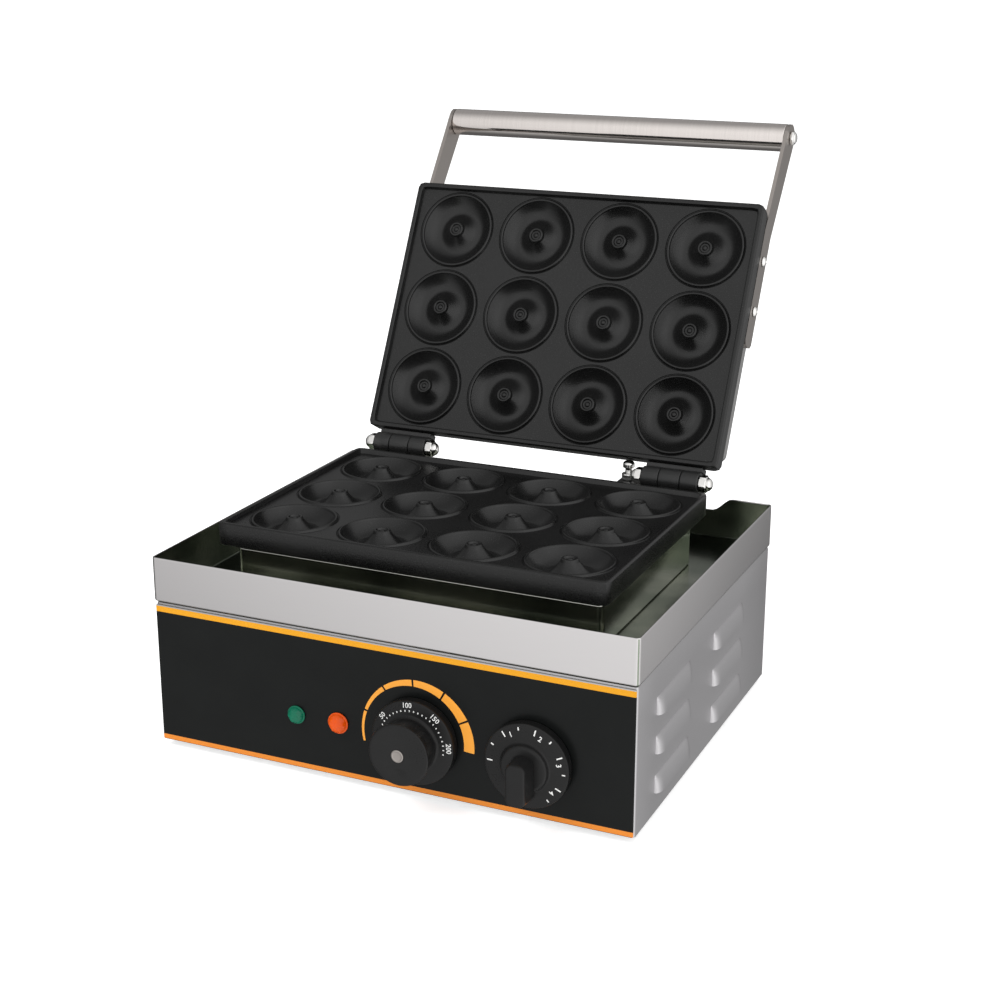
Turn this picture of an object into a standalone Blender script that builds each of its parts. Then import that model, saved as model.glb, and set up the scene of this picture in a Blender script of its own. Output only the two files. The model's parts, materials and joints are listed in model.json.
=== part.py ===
"""Twelve-cup donut maker with its lid open: a parametric model in metres, +Z up, front face towards -Y."""

import math

import bmesh
import bpy
from mathutils import Matrix, Vector
from mathutils.geometry import delaunay_2d_cdt

for old in list(bpy.data.objects):
    bpy.data.objects.remove(old, do_unlink=True)

# Driving dimensions, in metres
GAP = 0.0003  # clearance between neighbouring parts
SHEET = 0.001  # thickness of the folded sheet

BODY_HX = 0.184  # half width of the body shell
BODY_FRONT = -0.148
BODY_REAR = 0.149
BODY_Z0 = 0.005  # lower edge of the shell, above the floor
BODY_Z1 = 0.1135
FLANGE_Z = 0.0066  # underside of the flange that carries the bottom plate

TRAY_HX = 0.185
TRAY_HY = 0.150
TRAY_Z0 = 0.1138
TRAY_Z1 = 0.147
TRAY_NOTCH = 0.0105  # how far the rear wall is cut down for the lid

PLATE_HX = 0.150
PLATE_HY = 0.106
PLATE_Y = -0.011  # centre of both mould plates
LOWER_Z0 = 0.151
LOWER_Z1 = 0.168  # top of the lower plate's rim
UPPER_Z0 = 0.1685  # rim of the upper plate when the lid is shut
UPPER_T = 0.014
RIM = 0.0040
RECESS = 0.0035
CUP_PX = 0.072
CUP_PY = 0.0675
CUP_R = 0.0305
PLATE_CORNER = 0.0045
CUP_DEPTH = 0.0088
CUP_SEGMENTS = 12

HOUSING_HX = 0.142
HOUSING_Y0 = -0.104
HOUSING_Y1 = 0.082
HOUSING_Z0 = 0.1151
HOUSING_Z1 = 0.146

HINGE_Y = 0.108
HINGE_Z = 0.170
HINGE_X = 0.116
OPEN_ANGLE = math.radians(118)
DEPTH_MIDDLE = 0.0555  # middle of the open appliance's depth, which ends up over the origin
KNUCKLE_R = 0.0085
PIN_R = 0.0039

COVER_HX = 0.1465
COVER_Y0 = -0.096
COVER_Y1 = 0.084
COVER_Z0 = 0.1828
COVER_Z1 = 0.2035

HANDLE_Y = -0.187
HANDLE_Z = 0.2085
HANDLE_R = 0.011
LEAD_X = 0.0
LEAD_Z = 0.094
LID_LEAD_X = -HINGE_X
LID_LEAD_Z = 0.1925
ARM_Z = 0.193
ARM_T = 0.003
ARM_HALF = 0.0093
ARM_END_Y = -0.012

FASCIA_Y = -0.1495
DIAL_Z = 0.0465
THERMO_X = 0.026
TIMER_X = 0.1105
LAMP_GREEN_X = -0.069
LAMP_ORANGE_X = -0.0355
LAMP_HOLE = 0.006

LOUVRE_LEN = 0.068
LOUVRE_H = 0.013
LOUVRE_OUT = 0.004
LOUVRE_Y = (-0.076, 0.046)
LOUVRE_Z = (0.084, 0.0555, 0.0265)


def material(name, colour, roughness, metallic):
    found = bpy.data.materials.get(name)
    if found:
        return found
    made = bpy.data.materials.new(name)
    made.use_nodes = True
    shader = made.node_tree.nodes["Principled BSDF"]
    shader.inputs["Base Color"].default_value = (*colour, 1.0)
    shader.inputs["Roughness"].default_value = roughness
    shader.inputs["Metallic"].default_value = metallic
    made.diffuse_color = (*colour, 1.0)
    return made


STEEL = material("brushed_stainless", (0.55, 0.55, 0.56), 0.32, 1.0)
POLISHED = material("polished_stainless", (0.66, 0.65, 0.64), 0.14, 1.0)
COATED = material("nonstick_casting", (0.018, 0.018, 0.02), 0.5, 0.0)
BLACK_PANEL = material("black_panel", (0.012, 0.013, 0.014), 0.3, 0.0)
BLACK_PLASTIC = material("black_phenolic", (0.015, 0.015, 0.016), 0.4, 0.0)
BLACK_IRON = material("black_hinge_iron", (0.02, 0.02, 0.021), 0.45, 0.3)
CHROME = material("bright_fastener", (0.78, 0.78, 0.77), 0.1, 1.0)
RUBBER = material("rubber_black", (0.02, 0.02, 0.02), 0.85, 0.0)
GREEN = material("lamp_green_lens", (0.0, 0.25, 0.11), 0.25, 0.0)
ORANGE = material("lamp_orange_lens", (0.85, 0.12, 0.02), 0.25, 0.0)
CERAMIC = material("ceramic_white", (0.8, 0.78, 0.72), 0.45, 0.0)
ELEMENT = material("element_sheath", (0.16, 0.15, 0.14), 0.5, 0.8)


def shut(point):
    """A point of the shut lid, turned back about the hinge axis to the open rest pose."""
    x, y, z = point
    dy = y - HINGE_Y
    dz = z - HINGE_Z
    cos_a = math.cos(OPEN_ANGLE)
    sin_a = math.sin(OPEN_ANGLE)
    return (x, HINGE_Y + dy * cos_a + dz * sin_a, HINGE_Z - dy * sin_a + dz * cos_a)


def circle(cx, cy, radius, count):
    turns = [2 * math.pi * i / count for i in range(count)]
    return [(cx + radius * math.cos(t), cy + radius * math.sin(t)) for t in turns]


def rounded(x0, x1, y0, y1, radius, steps=2):
    """A rectangle with rounded corners, counter-clockwise."""
    radius = max(radius, 0.00005)
    corners = ((x1 - radius, y0 + radius, -90), (x1 - radius, y1 - radius, 0))
    corners += ((x0 + radius, y1 - radius, 90), (x0 + radius, y0 + radius, 180))
    points = []
    for cx, cy, start in corners:
        for i in range(steps + 1):
            turn = math.radians(start + 90 * i / steps)
            points.append((cx + radius * math.cos(turn), cy + radius * math.sin(turn)))
    return points


def hexagon(cx, cy, across, count=12):
    """A hexagon given as count points, so that it can be bridged to a circle."""
    points = []
    for i in range(count):
        turn = 2 * math.pi * i / count
        near = (turn + math.pi / 6) % (math.pi / 3) - math.pi / 6
        radius = across / 2 / math.cos(near)
        points.append((cx + radius * math.cos(turn), cy + radius * math.sin(turn)))
    return points


class Solid:
    """Loops of points at chosen depths, joined into one closed surface."""

    def __init__(self, place=None):
        self.place = place or (lambda u, v, w: (u, v, w))
        self.flat = []
        self.points = []
        self.faces = []

    def loop(self, outline, depth):
        start = len(self.points)
        for u, v in outline:
            self.flat.append((u, v))
            self.points.append(self.place(u, v, depth))
        return list(range(start, len(self.points)))

    def bridge(self, first, second):
        count = len(first)
        for i in range(count):
            j = (i + 1) % count
            self.faces.append((first[i], first[j], second[j], second[i]))

    def skin(self, loops):
        for first, second in zip(loops, loops[1:]):
            self.bridge(first, second)

    def cap(self, loop):
        self.faces.append(tuple(loop))

    def pole(self, loop, u, v, depth):
        self.flat.append((u, v))
        self.points.append(self.place(u, v, depth))
        tip = len(self.points) - 1
        for i in range(len(loop)):
            self.faces.append((loop[i], loop[(i + 1) % len(loop)], tip))

    def fill(self, outer, holes):
        """Fills the outer loop with triangles and leaves the holes open."""
        order = list(outer)
        edges = [(i, (i + 1) % len(outer)) for i in range(len(outer))]
        rings = []
        for hole in holes:
            start = len(order)
            order += hole
            edges += [(start + i, start + (i + 1) % len(hole)) for i in range(len(hole))]
            rings.append([self.flat[i] for i in hole])
        flat = [Vector(self.flat[i]) for i in order]
        result = delaunay_2d_cdt(flat, edges, [], 0, 1e-7)
        origin = [order[names[0]] for names in result[3]]
        border = [self.flat[i] for i in outer]
        for face in result[2]:
            centre = sum((result[0][i] for i in face), Vector((0, 0))) / len(face)
            if inside(centre, border) and not any(inside(centre, ring) for ring in rings):
                self.faces.append(tuple(origin[i] for i in face))

    def build(self, name, skin, pivot=(0, 0, 0), smooth=35):
        pivot = Vector(pivot)
        mesh = bpy.data.meshes.new(name)
        mesh.from_pydata([Vector(p) - pivot for p in self.points], [], self.faces)
        return dress(name, mesh, skin, pivot, smooth)


def inside(point, ring):
    found = False
    x, y = point
    for i in range(len(ring)):
        x0, y0 = ring[i - 1]
        x1, y1 = ring[i]
        if (y0 > y) != (y1 > y) and x < (x1 - x0) * (y - y0) / (y1 - y0) + x0:
            found = not found
    return found


def dress(name, mesh, skin, pivot, smooth):
    work = bmesh.new()
    work.from_mesh(mesh)
    bmesh.ops.recalc_face_normals(work, faces=work.faces)
    for face in work.faces:
        face.smooth = True
    for edge in work.edges:
        if len(edge.link_faces) == 2 and edge.calc_face_angle() > math.radians(smooth):
            edge.smooth = False
    work.to_mesh(mesh)
    work.free()
    mesh.materials.clear()
    mesh.materials.append(skin)
    obj = bpy.data.objects.new(name, mesh)
    obj.location = pivot
    bpy.context.scene.collection.objects.link(obj)
    return obj


def bake(obj, steps, smooth=35):
    """Applies Booleans, each (operation, solver, other), and removes the cutters."""
    for operation, solver, other in steps:
        step = obj.modifiers.new(operation.lower(), "BOOLEAN")
        step.operation = operation
        step.solver = solver
        step.object = other
    bpy.context.view_layer.update()
    graph = bpy.context.evaluated_depsgraph_get()
    mesh = bpy.data.meshes.new_from_object(obj.evaluated_get(graph), depsgraph=graph)
    obj.modifiers.clear()
    for _, _, other in steps:
        bpy.data.objects.remove(other, do_unlink=True)
    work = bmesh.new()
    work.from_mesh(mesh)
    bmesh.ops.remove_doubles(work, verts=work.verts, dist=2e-6)
    bmesh.ops.dissolve_degenerate(work, edges=work.edges, dist=2e-6)
    bmesh.ops.triangulate(work, faces=work.faces)
    work.to_mesh(mesh)
    work.free()
    skin = obj.data.materials[0]
    name = obj.name
    pivot = obj.location.copy()
    bpy.data.objects.remove(obj, do_unlink=True)
    return dress(name, mesh, skin, pivot, smooth)


def join(name, solids):
    """Several closed bodies as one cutter."""
    both = Solid()
    for solid in solids:
        start = len(both.points)
        both.points += solid.points
        both.faces += [tuple(start + i for i in face) for face in solid.faces]
    return both.build(name, STEEL)


def along_x(y, z):
    """Places (u, v, w) with w along +X from the axis at (y, z)."""
    return lambda u, v, w: (w, y + u, z + v)


def outward(x, z):
    """Places (u, v, w) with w along -Y, out of the front, from the axis at (x, z)."""
    return lambda u, v, w: (x + u, -w, z + v)


def cylinder(place, radius, w0, w1, count=16, bevel=0.0):
    solid = Solid(place)
    loops = []
    if bevel:
        loops.append(solid.loop(circle(0, 0, radius - bevel, count), w0))
        loops.append(solid.loop(circle(0, 0, radius, count), w0 + bevel))
        loops.append(solid.loop(circle(0, 0, radius, count), w1 - bevel))
        loops.append(solid.loop(circle(0, 0, radius - bevel, count), w1))
    else:
        loops.append(solid.loop(circle(0, 0, radius, count), w0))
        loops.append(solid.loop(circle(0, 0, radius, count), w1))
    solid.cap(loops[0])
    solid.skin(loops)
    solid.cap(loops[-1])
    return solid


def block(place, x0, x1, y0, y1, w0, w1, radius=0.0, bevel=0.0):
    solid = Solid(place)
    steps = 2 if radius > 0.0001 else 1
    levels = [(0.0, w0), (0.0, w1)]
    if bevel:
        levels = [(bevel, w0), (0.0, w0 + bevel), (0.0, w1 - bevel), (bevel, w1)]
    loops = []
    for inset, depth in levels:
        outline = rounded(
            x0 + inset, x1 - inset, y0 + inset, y1 - inset, radius - inset, steps
        )
        loops.append(solid.loop(outline, depth))
    solid.cap(loops[0])
    solid.skin(loops)
    solid.cap(loops[-1])
    return solid


def revolve(place, profile, count=20):
    """Turns (radius, depth) points about the axis. A radius of 0 at an end is a pole; without one it is a ring."""
    solid = Solid(place)
    loops = [solid.loop(circle(0, 0, r, count), w) for r, w in profile if r > 0]
    solid.skin(loops)
    if profile[0][0] == 0:
        solid.pole(loops[0], 0, 0, profile[0][1])
        solid.pole(loops[-1], 0, 0, profile[-1][1])
    else:
        solid.bridge(loops[-1], loops[0])
    return solid


def ring_sweep(x0, x1, y0, y1, profile, corner, place=None, steps=2):
    """Sweeps a closed (inset, height) profile round a rounded rectangle."""
    solid = Solid(place)
    loops = []
    for inset, height in profile:
        outline = rounded(
            x0 + inset, x1 - inset, y0 + inset, y1 - inset, corner - inset, steps
        )
        loops.append(solid.loop(outline, height))
    solid.skin(loops)
    solid.bridge(loops[-1], loops[0])
    return solid


def louvre(side, y, z, kind):
    """One pressed louvre on a side wall: its raised skin, its hollow or its mouth."""
    place = lambda u, v, w: (side * w, y + u, z + v)
    half = LOUVRE_LEN / 2
    tall = LOUVRE_H / 2
    if kind == "mouth":
        return block(
            place, -half + 0.008, half - 0.008, -tall - 0.001, -tall + 0.0034,
            BODY_HX + 0.0001, BODY_HX + 0.0065,
        )
    thin = 0.0 if kind == "skin" else SHEET
    base = BODY_HX - (0.0004 if kind == "skin" else 0.003)
    rows = ((0.0, base), (0.0, BODY_HX - thin * 0.6))
    rows += ((0.0012, BODY_HX + LOUVRE_OUT * 0.7 - thin), (0.0028, BODY_HX + LOUVRE_OUT - thin))
    solid = Solid(place)
    loops = []
    for inset, depth in rows:
        inset += thin
        outline = rounded(
            -half + inset, half - inset, -tall + inset, tall - inset, tall - inset, 2
        )
        loops.append(solid.loop(outline, depth))
    solid.cap(loops[0])
    solid.skin(loops)
    solid.cap(loops[-1])
    return solid


def base_shell():
    profile = [
        (0.0, BODY_Z0), (0.0, BODY_Z1 - 0.0012), (0.0004, BODY_Z1 - 0.0004),
        (0.0012, BODY_Z1), (0.014, BODY_Z1), (0.014, BODY_Z1 - SHEET),
        (0.0017, BODY_Z1 - SHEET), (SHEET, BODY_Z1 - 0.0017), (SHEET, FLANGE_Z + SHEET),
        (0.011, FLANGE_Z + SHEET), (0.011, FLANGE_Z), (SHEET, FLANGE_Z), (SHEET, BODY_Z0),
    ]
    shell = ring_sweep(-BODY_HX, BODY_HX, BODY_FRONT, BODY_REAR, profile, 0.002)
    obj = shell.build("base_shell", STEEL)
    spots = [
        (side, y, z) for side in (-1, 1) for y in LOUVRE_Y for z in LOUVRE_Z
    ]
    skins = join("louvre_skins", [louvre(*spot, "skin") for spot in spots])
    hollows = join("louvre_hollows", [louvre(*spot, "hollow") for spot in spots])
    mouths = join("louvre_mouths", [louvre(*spot, "mouth") for spot in spots])
    holes = []
    for x, radius in (
        (THERMO_X, 0.006), (TIMER_X, 0.006),
        (LAMP_GREEN_X, LAMP_HOLE), (LAMP_ORANGE_X, LAMP_HOLE),
    ):
        holes.append(cylinder(outward(x, DIAL_Z), radius, 0.145, 0.150))
    for x, z, radius in ((CORD_X, CORD_Z, 0.0084), (LEAD_X, LEAD_Z, 0.0064)):
        holes.append(cylinder(outward(x, z), radius, -0.151, -0.146))
    for x, y in BOTTOM_SCREWS:
        holes.append(cylinder(lambda u, v, w, x=x, y=y: (x + u, y + v, w), 0.0021, 0.006, 0.008, 8))
    for i in range(7):
        x = 0.03 + 0.016 * i
        place = lambda u, v, w: (u, -w, v)
        holes.append(block(place, x, x + 0.005, 0.040, 0.085, -0.151, -0.146, 0.0024))
    cut = join("shell_holes", holes)
    return bake(obj, [
        ("UNION", "EXACT", skins), ("DIFFERENCE", "EXACT", hollows),
        ("DIFFERENCE", "EXACT", mouths), ("DIFFERENCE", "EXACT", cut),
    ])


CORD_X = -0.120
CORD_Z = 0.034
BOTTOM_SCREWS = ((-0.100, -0.1425), (0.100, -0.1425), (-0.100, 0.1435), (0.100, 0.1435))
FEET = ((-0.155, -0.120), (0.155, -0.120), (-0.155, 0.120), (0.155, 0.120))


def panel(name, skin, place, outline, holes, w0, w1, bevel=0.0):
    """A flat sheet between two depths, with holes through it."""
    solid = Solid(place)
    inner = [(solid.loop(hole, w0), solid.loop(hole, w1)) for hole in holes]
    loops = [solid.loop(outline(0.0), w0)]
    if bevel:
        loops.append(solid.loop(outline(0.0), w1 - bevel))
        loops.append(solid.loop(outline(bevel), w1))
    else:
        loops.append(solid.loop(outline(0.0), w1))
    solid.skin(loops)
    for low, high in inner:
        solid.bridge(low, high)
    solid.fill(loops[0], [pair[0] for pair in inner])
    solid.fill(loops[-1], [pair[1] for pair in inner])
    return solid.build(name, skin)


def front_fascia():
    def outline(inset):
        return rounded(
            -BODY_HX + 0.0006 + inset, BODY_HX - 0.0006 - inset,
            0.0056 + inset, 0.1112 - inset, 0.0008,
        )

    holes = [circle(x, DIAL_Z, 0.006, 12) for x in (THERMO_X, TIMER_X)]
    holes += [circle(x, DIAL_Z, LAMP_HOLE, 12) for x in (LAMP_GREEN_X, LAMP_ORANGE_X)]
    return panel(
        "front_fascia", BLACK_PANEL, outward(0, 0), outline, holes,
        -BODY_FRONT + GAP, -FASCIA_Y, 0.0002,
    )


def bottom_plate():
    def outline(inset):
        return rounded(
            -BODY_HX + 0.0016, BODY_HX - 0.0016,
            BODY_FRONT + 0.0016, BODY_REAR - 0.0016, 0.001,
        )

    holes = [circle(x, y, 0.0036, 12) for x, y in FEET]
    holes += [circle(x, y, 0.0021, 8) for x, y in BOTTOM_SCREWS]
    for row in (-0.060, 0.050):
        for i in range(6):
            x = -0.090 + 0.036 * i
            holes.append(rounded(x - 0.003, x + 0.003, row - 0.024, row + 0.024, 0.0029, 1))
    return panel(
        "bottom_plate", STEEL, None, outline, holes, FLANGE_Z - GAP - SHEET, FLANGE_Z - GAP
    )


def feet():
    names = ("front_left", "front_right", "rear_left", "rear_right")
    profile = [
        (0, 0.0), (0.0078, 0.0), (0.0088, 0.0008), (0.0095, 0.0050), (0.0033, 0.0050),
        (0.0033, 0.0067), (0.0044, 0.0067), (0.0022, 0.0106), (0, 0.0108),
    ]
    for (x, y), name in zip(FEET, names):
        place = lambda u, v, w, x=x, y=y: (x + u, y + v, w)
        revolve(place, profile, 14).build("foot_" + name, RUBBER)


def bottom_screws():
    names = ("front_left", "front_right", "rear_left", "rear_right")
    profile = [
        (0, 0.0034), (0.0026, 0.0037), (0.0035, 0.0050),
        (0.0018, 0.0050), (0.0018, 0.0122), (0, 0.0125),
    ]
    for (x, y), name in zip(BOTTOM_SCREWS, names):
        place = lambda u, v, w, x=x, y=y: (x + u, y + v, w)
        revolve(place, profile, 8).build("bottom_screw_" + name, CHROME)


def tray():
    solid = Solid()
    opening = rounded(-0.110, 0.110, PLATE_Y - 0.070, PLATE_Y + 0.070, 0.008)
    rows = [
        (0.0030, TRAY_Z0), (0.0014, TRAY_Z0 + 0.0004), (0.0004, TRAY_Z0 + 0.0014),
        (0.0, TRAY_Z0 + 0.0030), (0.0, TRAY_Z1 - 0.0004), (0.0004, TRAY_Z1),
        (0.0008, TRAY_Z1), (0.0012, TRAY_Z1 - 0.0004), (0.0012, TRAY_Z0 + 0.0032),
        (0.0016, TRAY_Z0 + 0.0020), (0.0034, TRAY_Z0 + SHEET),
    ]
    loops = []
    for inset, height in rows:
        outline = rounded(
            -TRAY_HX + inset, TRAY_HX - inset, -TRAY_HY + inset, TRAY_HY - inset,
            max(0.0032 - inset, 0.0003),
        )
        loops.append(solid.loop(outline, height))
    solid.skin(loops)
    low = solid.loop(opening, rows[0][1])
    high = solid.loop(opening, rows[-1][1])
    solid.bridge(low, high)
    solid.fill(loops[0], [low])
    solid.fill(loops[-1], [high])
    obj = solid.build("top_tray", POLISHED)
    # The rear wall steps down between two S-shaped shoulders, so that the lid can swing.
    outline = [(-0.1535, TRAY_Z1 + 0.004), (-0.1535, TRAY_Z1 + 0.0002)]
    for i in range(9):
        t = i / 8
        drop = TRAY_NOTCH * t * t * (3 - 2 * t)
        outline.append((-0.1530 + 0.016 * t, TRAY_Z1 - 0.0002 - drop))
    outline += [(-x, z) for x, z in reversed(outline)]
    place = lambda u, v, w: (u, w, v)
    cutter = Solid(place)
    first = cutter.loop(outline, TRAY_HY - 0.006)
    second = cutter.loop(outline, TRAY_HY + 0.004)
    cutter.cap(first)
    cutter.bridge(first, second)
    cutter.cap(second)
    return bake(obj, [("DIFFERENCE", "EXACT", cutter.build("notch", STEEL))])


def heater_housing():
    lip = 0.009
    z0 = HOUSING_Z0
    z1 = HOUSING_Z1
    profile = [
        (0.0, z0), (0.0, z1 - 0.0010), (0.0003, z1 - 0.0003), (0.0010, z1), (lip, z1),
        (lip, z1 - SHEET), (0.0014, z1 - SHEET), (SHEET, z1 - 0.0014), (SHEET, z0 + SHEET),
        (lip, z0 + SHEET), (lip, z0),
    ]
    solid = ring_sweep(-HOUSING_HX, HOUSING_HX, HOUSING_Y0, HOUSING_Y1, profile, 0.004)
    return solid.build("heater_housing", POLISHED)


CUP_PROFILE = (
    (0.0290, 0.0008), (0.0256, -0.0054), (0.0182, -CUP_DEPTH),
    (0.0112, -0.0054), (0.0078, 0.0022), (0.0026, 0.0030),
)


def mould_plate(name, place, face, back, rim):
    """A cast plate: rim at 0, recessed face, twelve ring cups, each with a centre post. Depths run into the metal."""
    solid = Solid(place)
    sides = [
        (0.0006, back), (0.0, back - 0.0006), (0.0, 0.0008), (0.0008, 0.0),
        (rim, 0.0), (rim + 0.0010, face),
    ]
    loops = []
    for inset, depth in sides:
        outline = rounded(
            -PLATE_HX + inset, PLATE_HX - inset,
            PLATE_Y - PLATE_HY + inset, PLATE_Y + PLATE_HY - inset,
            max(PLATE_CORNER - inset * 0.6, 0.0018), 3,
        )
        loops.append(solid.loop(outline, depth))
    solid.cap(loops[0])
    solid.skin(loops)
    mouths = []
    for i in range(4):
        for j in range(3):
            cx = (i - 1.5) * CUP_PX
            cy = PLATE_Y + (j - 1) * CUP_PY
            ring = solid.loop(circle(cx, cy, CUP_R, CUP_SEGMENTS), face)
            mouths.append(ring)
            for radius, rise in CUP_PROFILE:
                turn = solid.loop(circle(cx, cy, radius, CUP_SEGMENTS), face - rise)
                solid.bridge(ring, turn)
                ring = turn
            solid.cap(ring)
    solid.fill(loops[-1], mouths)
    return solid


def lower_plate():
    place = lambda u, v, w: (u, v, LOWER_Z1 - w)
    solid = mould_plate("lower", place, RECESS, LOWER_Z1 - LOWER_Z0, RIM)
    return solid.build("lower_mould_plate", COATED)


def upper_plate():
    place = lambda u, v, w: shut((u, v, UPPER_Z0 + w))
    solid = mould_plate("upper", place, RECESS, UPPER_T, RIM)
    return solid.build("upper_mould_plate", COATED, (0, HINGE_Y, HINGE_Z))


def sweep(place, path, radius, sides=6):
    """A round rod along a flat path of (u, v) points."""
    solid = Solid()
    rings = []
    for i, (u, v) in enumerate(path):
        before = path[max(i - 1, 0)]
        after = path[min(i + 1, len(path) - 1)]
        along = Vector((after[0] - before[0], after[1] - before[1])).normalized()
        side = Vector((-along[1], along[0]))
        start = len(solid.points)
        for k in range(sides):
            turn = 2 * math.pi * (k + 0.5) / sides
            off = radius * math.cos(turn)
            spot = place(u + side[0] * off, v + side[1] * off, radius * math.sin(turn))
            solid.points.append(spot)
        rings.append(list(range(start, start + sides)))
    solid.cap(rings[0])
    solid.skin(rings)
    solid.cap(rings[-1])
    return solid


def element_path(half, rows):
    """Straight runs along X, joined by half turns."""
    points = []
    side = 1
    points.append((-half - 0.018, rows[0]))
    for k, row in enumerate(rows):
        points.append((-side * half, row))
        points.append((side * half, row))
        if k + 1 < len(rows):
            middle = (row + rows[k + 1]) / 2
            turn_r = (rows[k + 1] - row) / 2
            for i in range(1, 6):
                turn = math.radians(-90 + 180 * i / 6)
                points.append((side * (half + turn_r * math.cos(turn)), middle + turn_r * math.sin(turn)))
        side = -side
    points.append((-side * (half + 0.018), rows[-1]))
    return points


def heating():
    rows = (-0.078, -0.0333, 0.0113, 0.056)
    low = lambda u, v, w: (u, v, LOWER_Z0 - 0.0046 + w)
    sweep(low, element_path(0.096, rows), 0.0042).build("lower_heating_element", ELEMENT)
    z1 = LOWER_Z0 - 0.0046 - 0.0042 - GAP
    block(None, -0.117, 0.117, PLATE_Y - 0.078, PLATE_Y + 0.078, z1 - 0.0015, z1, 0.004).build(
        "lower_clamp_plate", STEEL
    )
    back = UPPER_Z0 + UPPER_T
    high = lambda u, v, w: shut((u, v, back + 0.0046 + w))
    pivot = (0, HINGE_Y, HINGE_Z)
    sweep(high, element_path(0.096, rows), 0.0042).build("upper_heating_element", ELEMENT, pivot)
    flat = lambda u, v, w: shut((u, v, w))
    z0 = back + 0.0046 + 0.0042 + GAP
    block(flat, -0.122, 0.122, PLATE_Y - 0.076, PLATE_Y + 0.076, z0, z0 + 0.0015, 0.004).build(
        "upper_clamp_plate", STEEL, pivot
    )


def posts():
    spots = ((-0.126, PLATE_Y - 0.076), (0.126, PLATE_Y - 0.076))
    spots += ((-0.126, PLATE_Y + 0.076), (0.126, PLATE_Y + 0.076))
    names = ("front_left", "front_right", "rear_left", "rear_right")
    for (x, y), name in zip(spots, names):
        place = lambda u, v, w, x=x, y=y: (x + u, y + v, w)
        solid = Solid(place)
        low = TRAY_Z0 + SHEET + GAP
        high = LOWER_Z0 - GAP
        loops = [solid.loop(hexagon(0, 0, 0.010, 12), low), solid.loop(hexagon(0, 0, 0.010, 12), high)]
        solid.cap(loops[0])
        solid.skin(loops)
        solid.cap(loops[1])
        solid.build("plate_post_" + name, CHROME)


def lid_cover():
    solid = Solid(lambda u, v, w: shut((u, v, w)))
    z0 = COVER_Z0
    z1 = COVER_Z1
    rows = [
        (0.0042, z1 - SHEET), (0.0022, z1 - 0.0018), (0.0013, z1 - 0.0034), (SHEET, z1 - 0.0052),
        (SHEET, z0), (0.0, z0), (0.0, z1 - 0.0050), (0.0005, z1 - 0.0026), (0.0018, z1 - 0.0008),
        (0.0040, z1),
    ]
    loops = []
    for inset, height in rows:
        outline = rounded(
            -COVER_HX + inset, COVER_HX - inset, COVER_Y0 + inset, COVER_Y1 - inset,
            0.006 - inset * 0.9, 2,
        )
        loops.append(solid.loop(outline, height))
    solid.cap(loops[0])
    solid.skin(loops)
    solid.cap(loops[-1])
    obj = solid.build("lid_cover", STEEL, (0, HINGE_Y, HINGE_Z))
    holes = []
    for side in (-1, 1):
        for y in ARM_SCREWS:
            place = lambda u, v, w, y=y: shut((w, y + u, ARM_Z + v))
            ends = sorted((side * (COVER_HX - 0.003), side * (COVER_HX + 0.002)))
            holes.append(cylinder(place, 0.0024, ends[0], ends[1], 12))
    place = lambda u, v, w: shut((LID_LEAD_X + u, w, LID_LEAD_Z + v))
    holes.append(cylinder(place, 0.0051, COVER_Y1 - 0.003, COVER_Y1 + 0.002))
    return bake(obj, [("DIFFERENCE", "EXACT", join("cover_holes", holes))])


ARM_SCREWS = (-0.078, -0.037)


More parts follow.
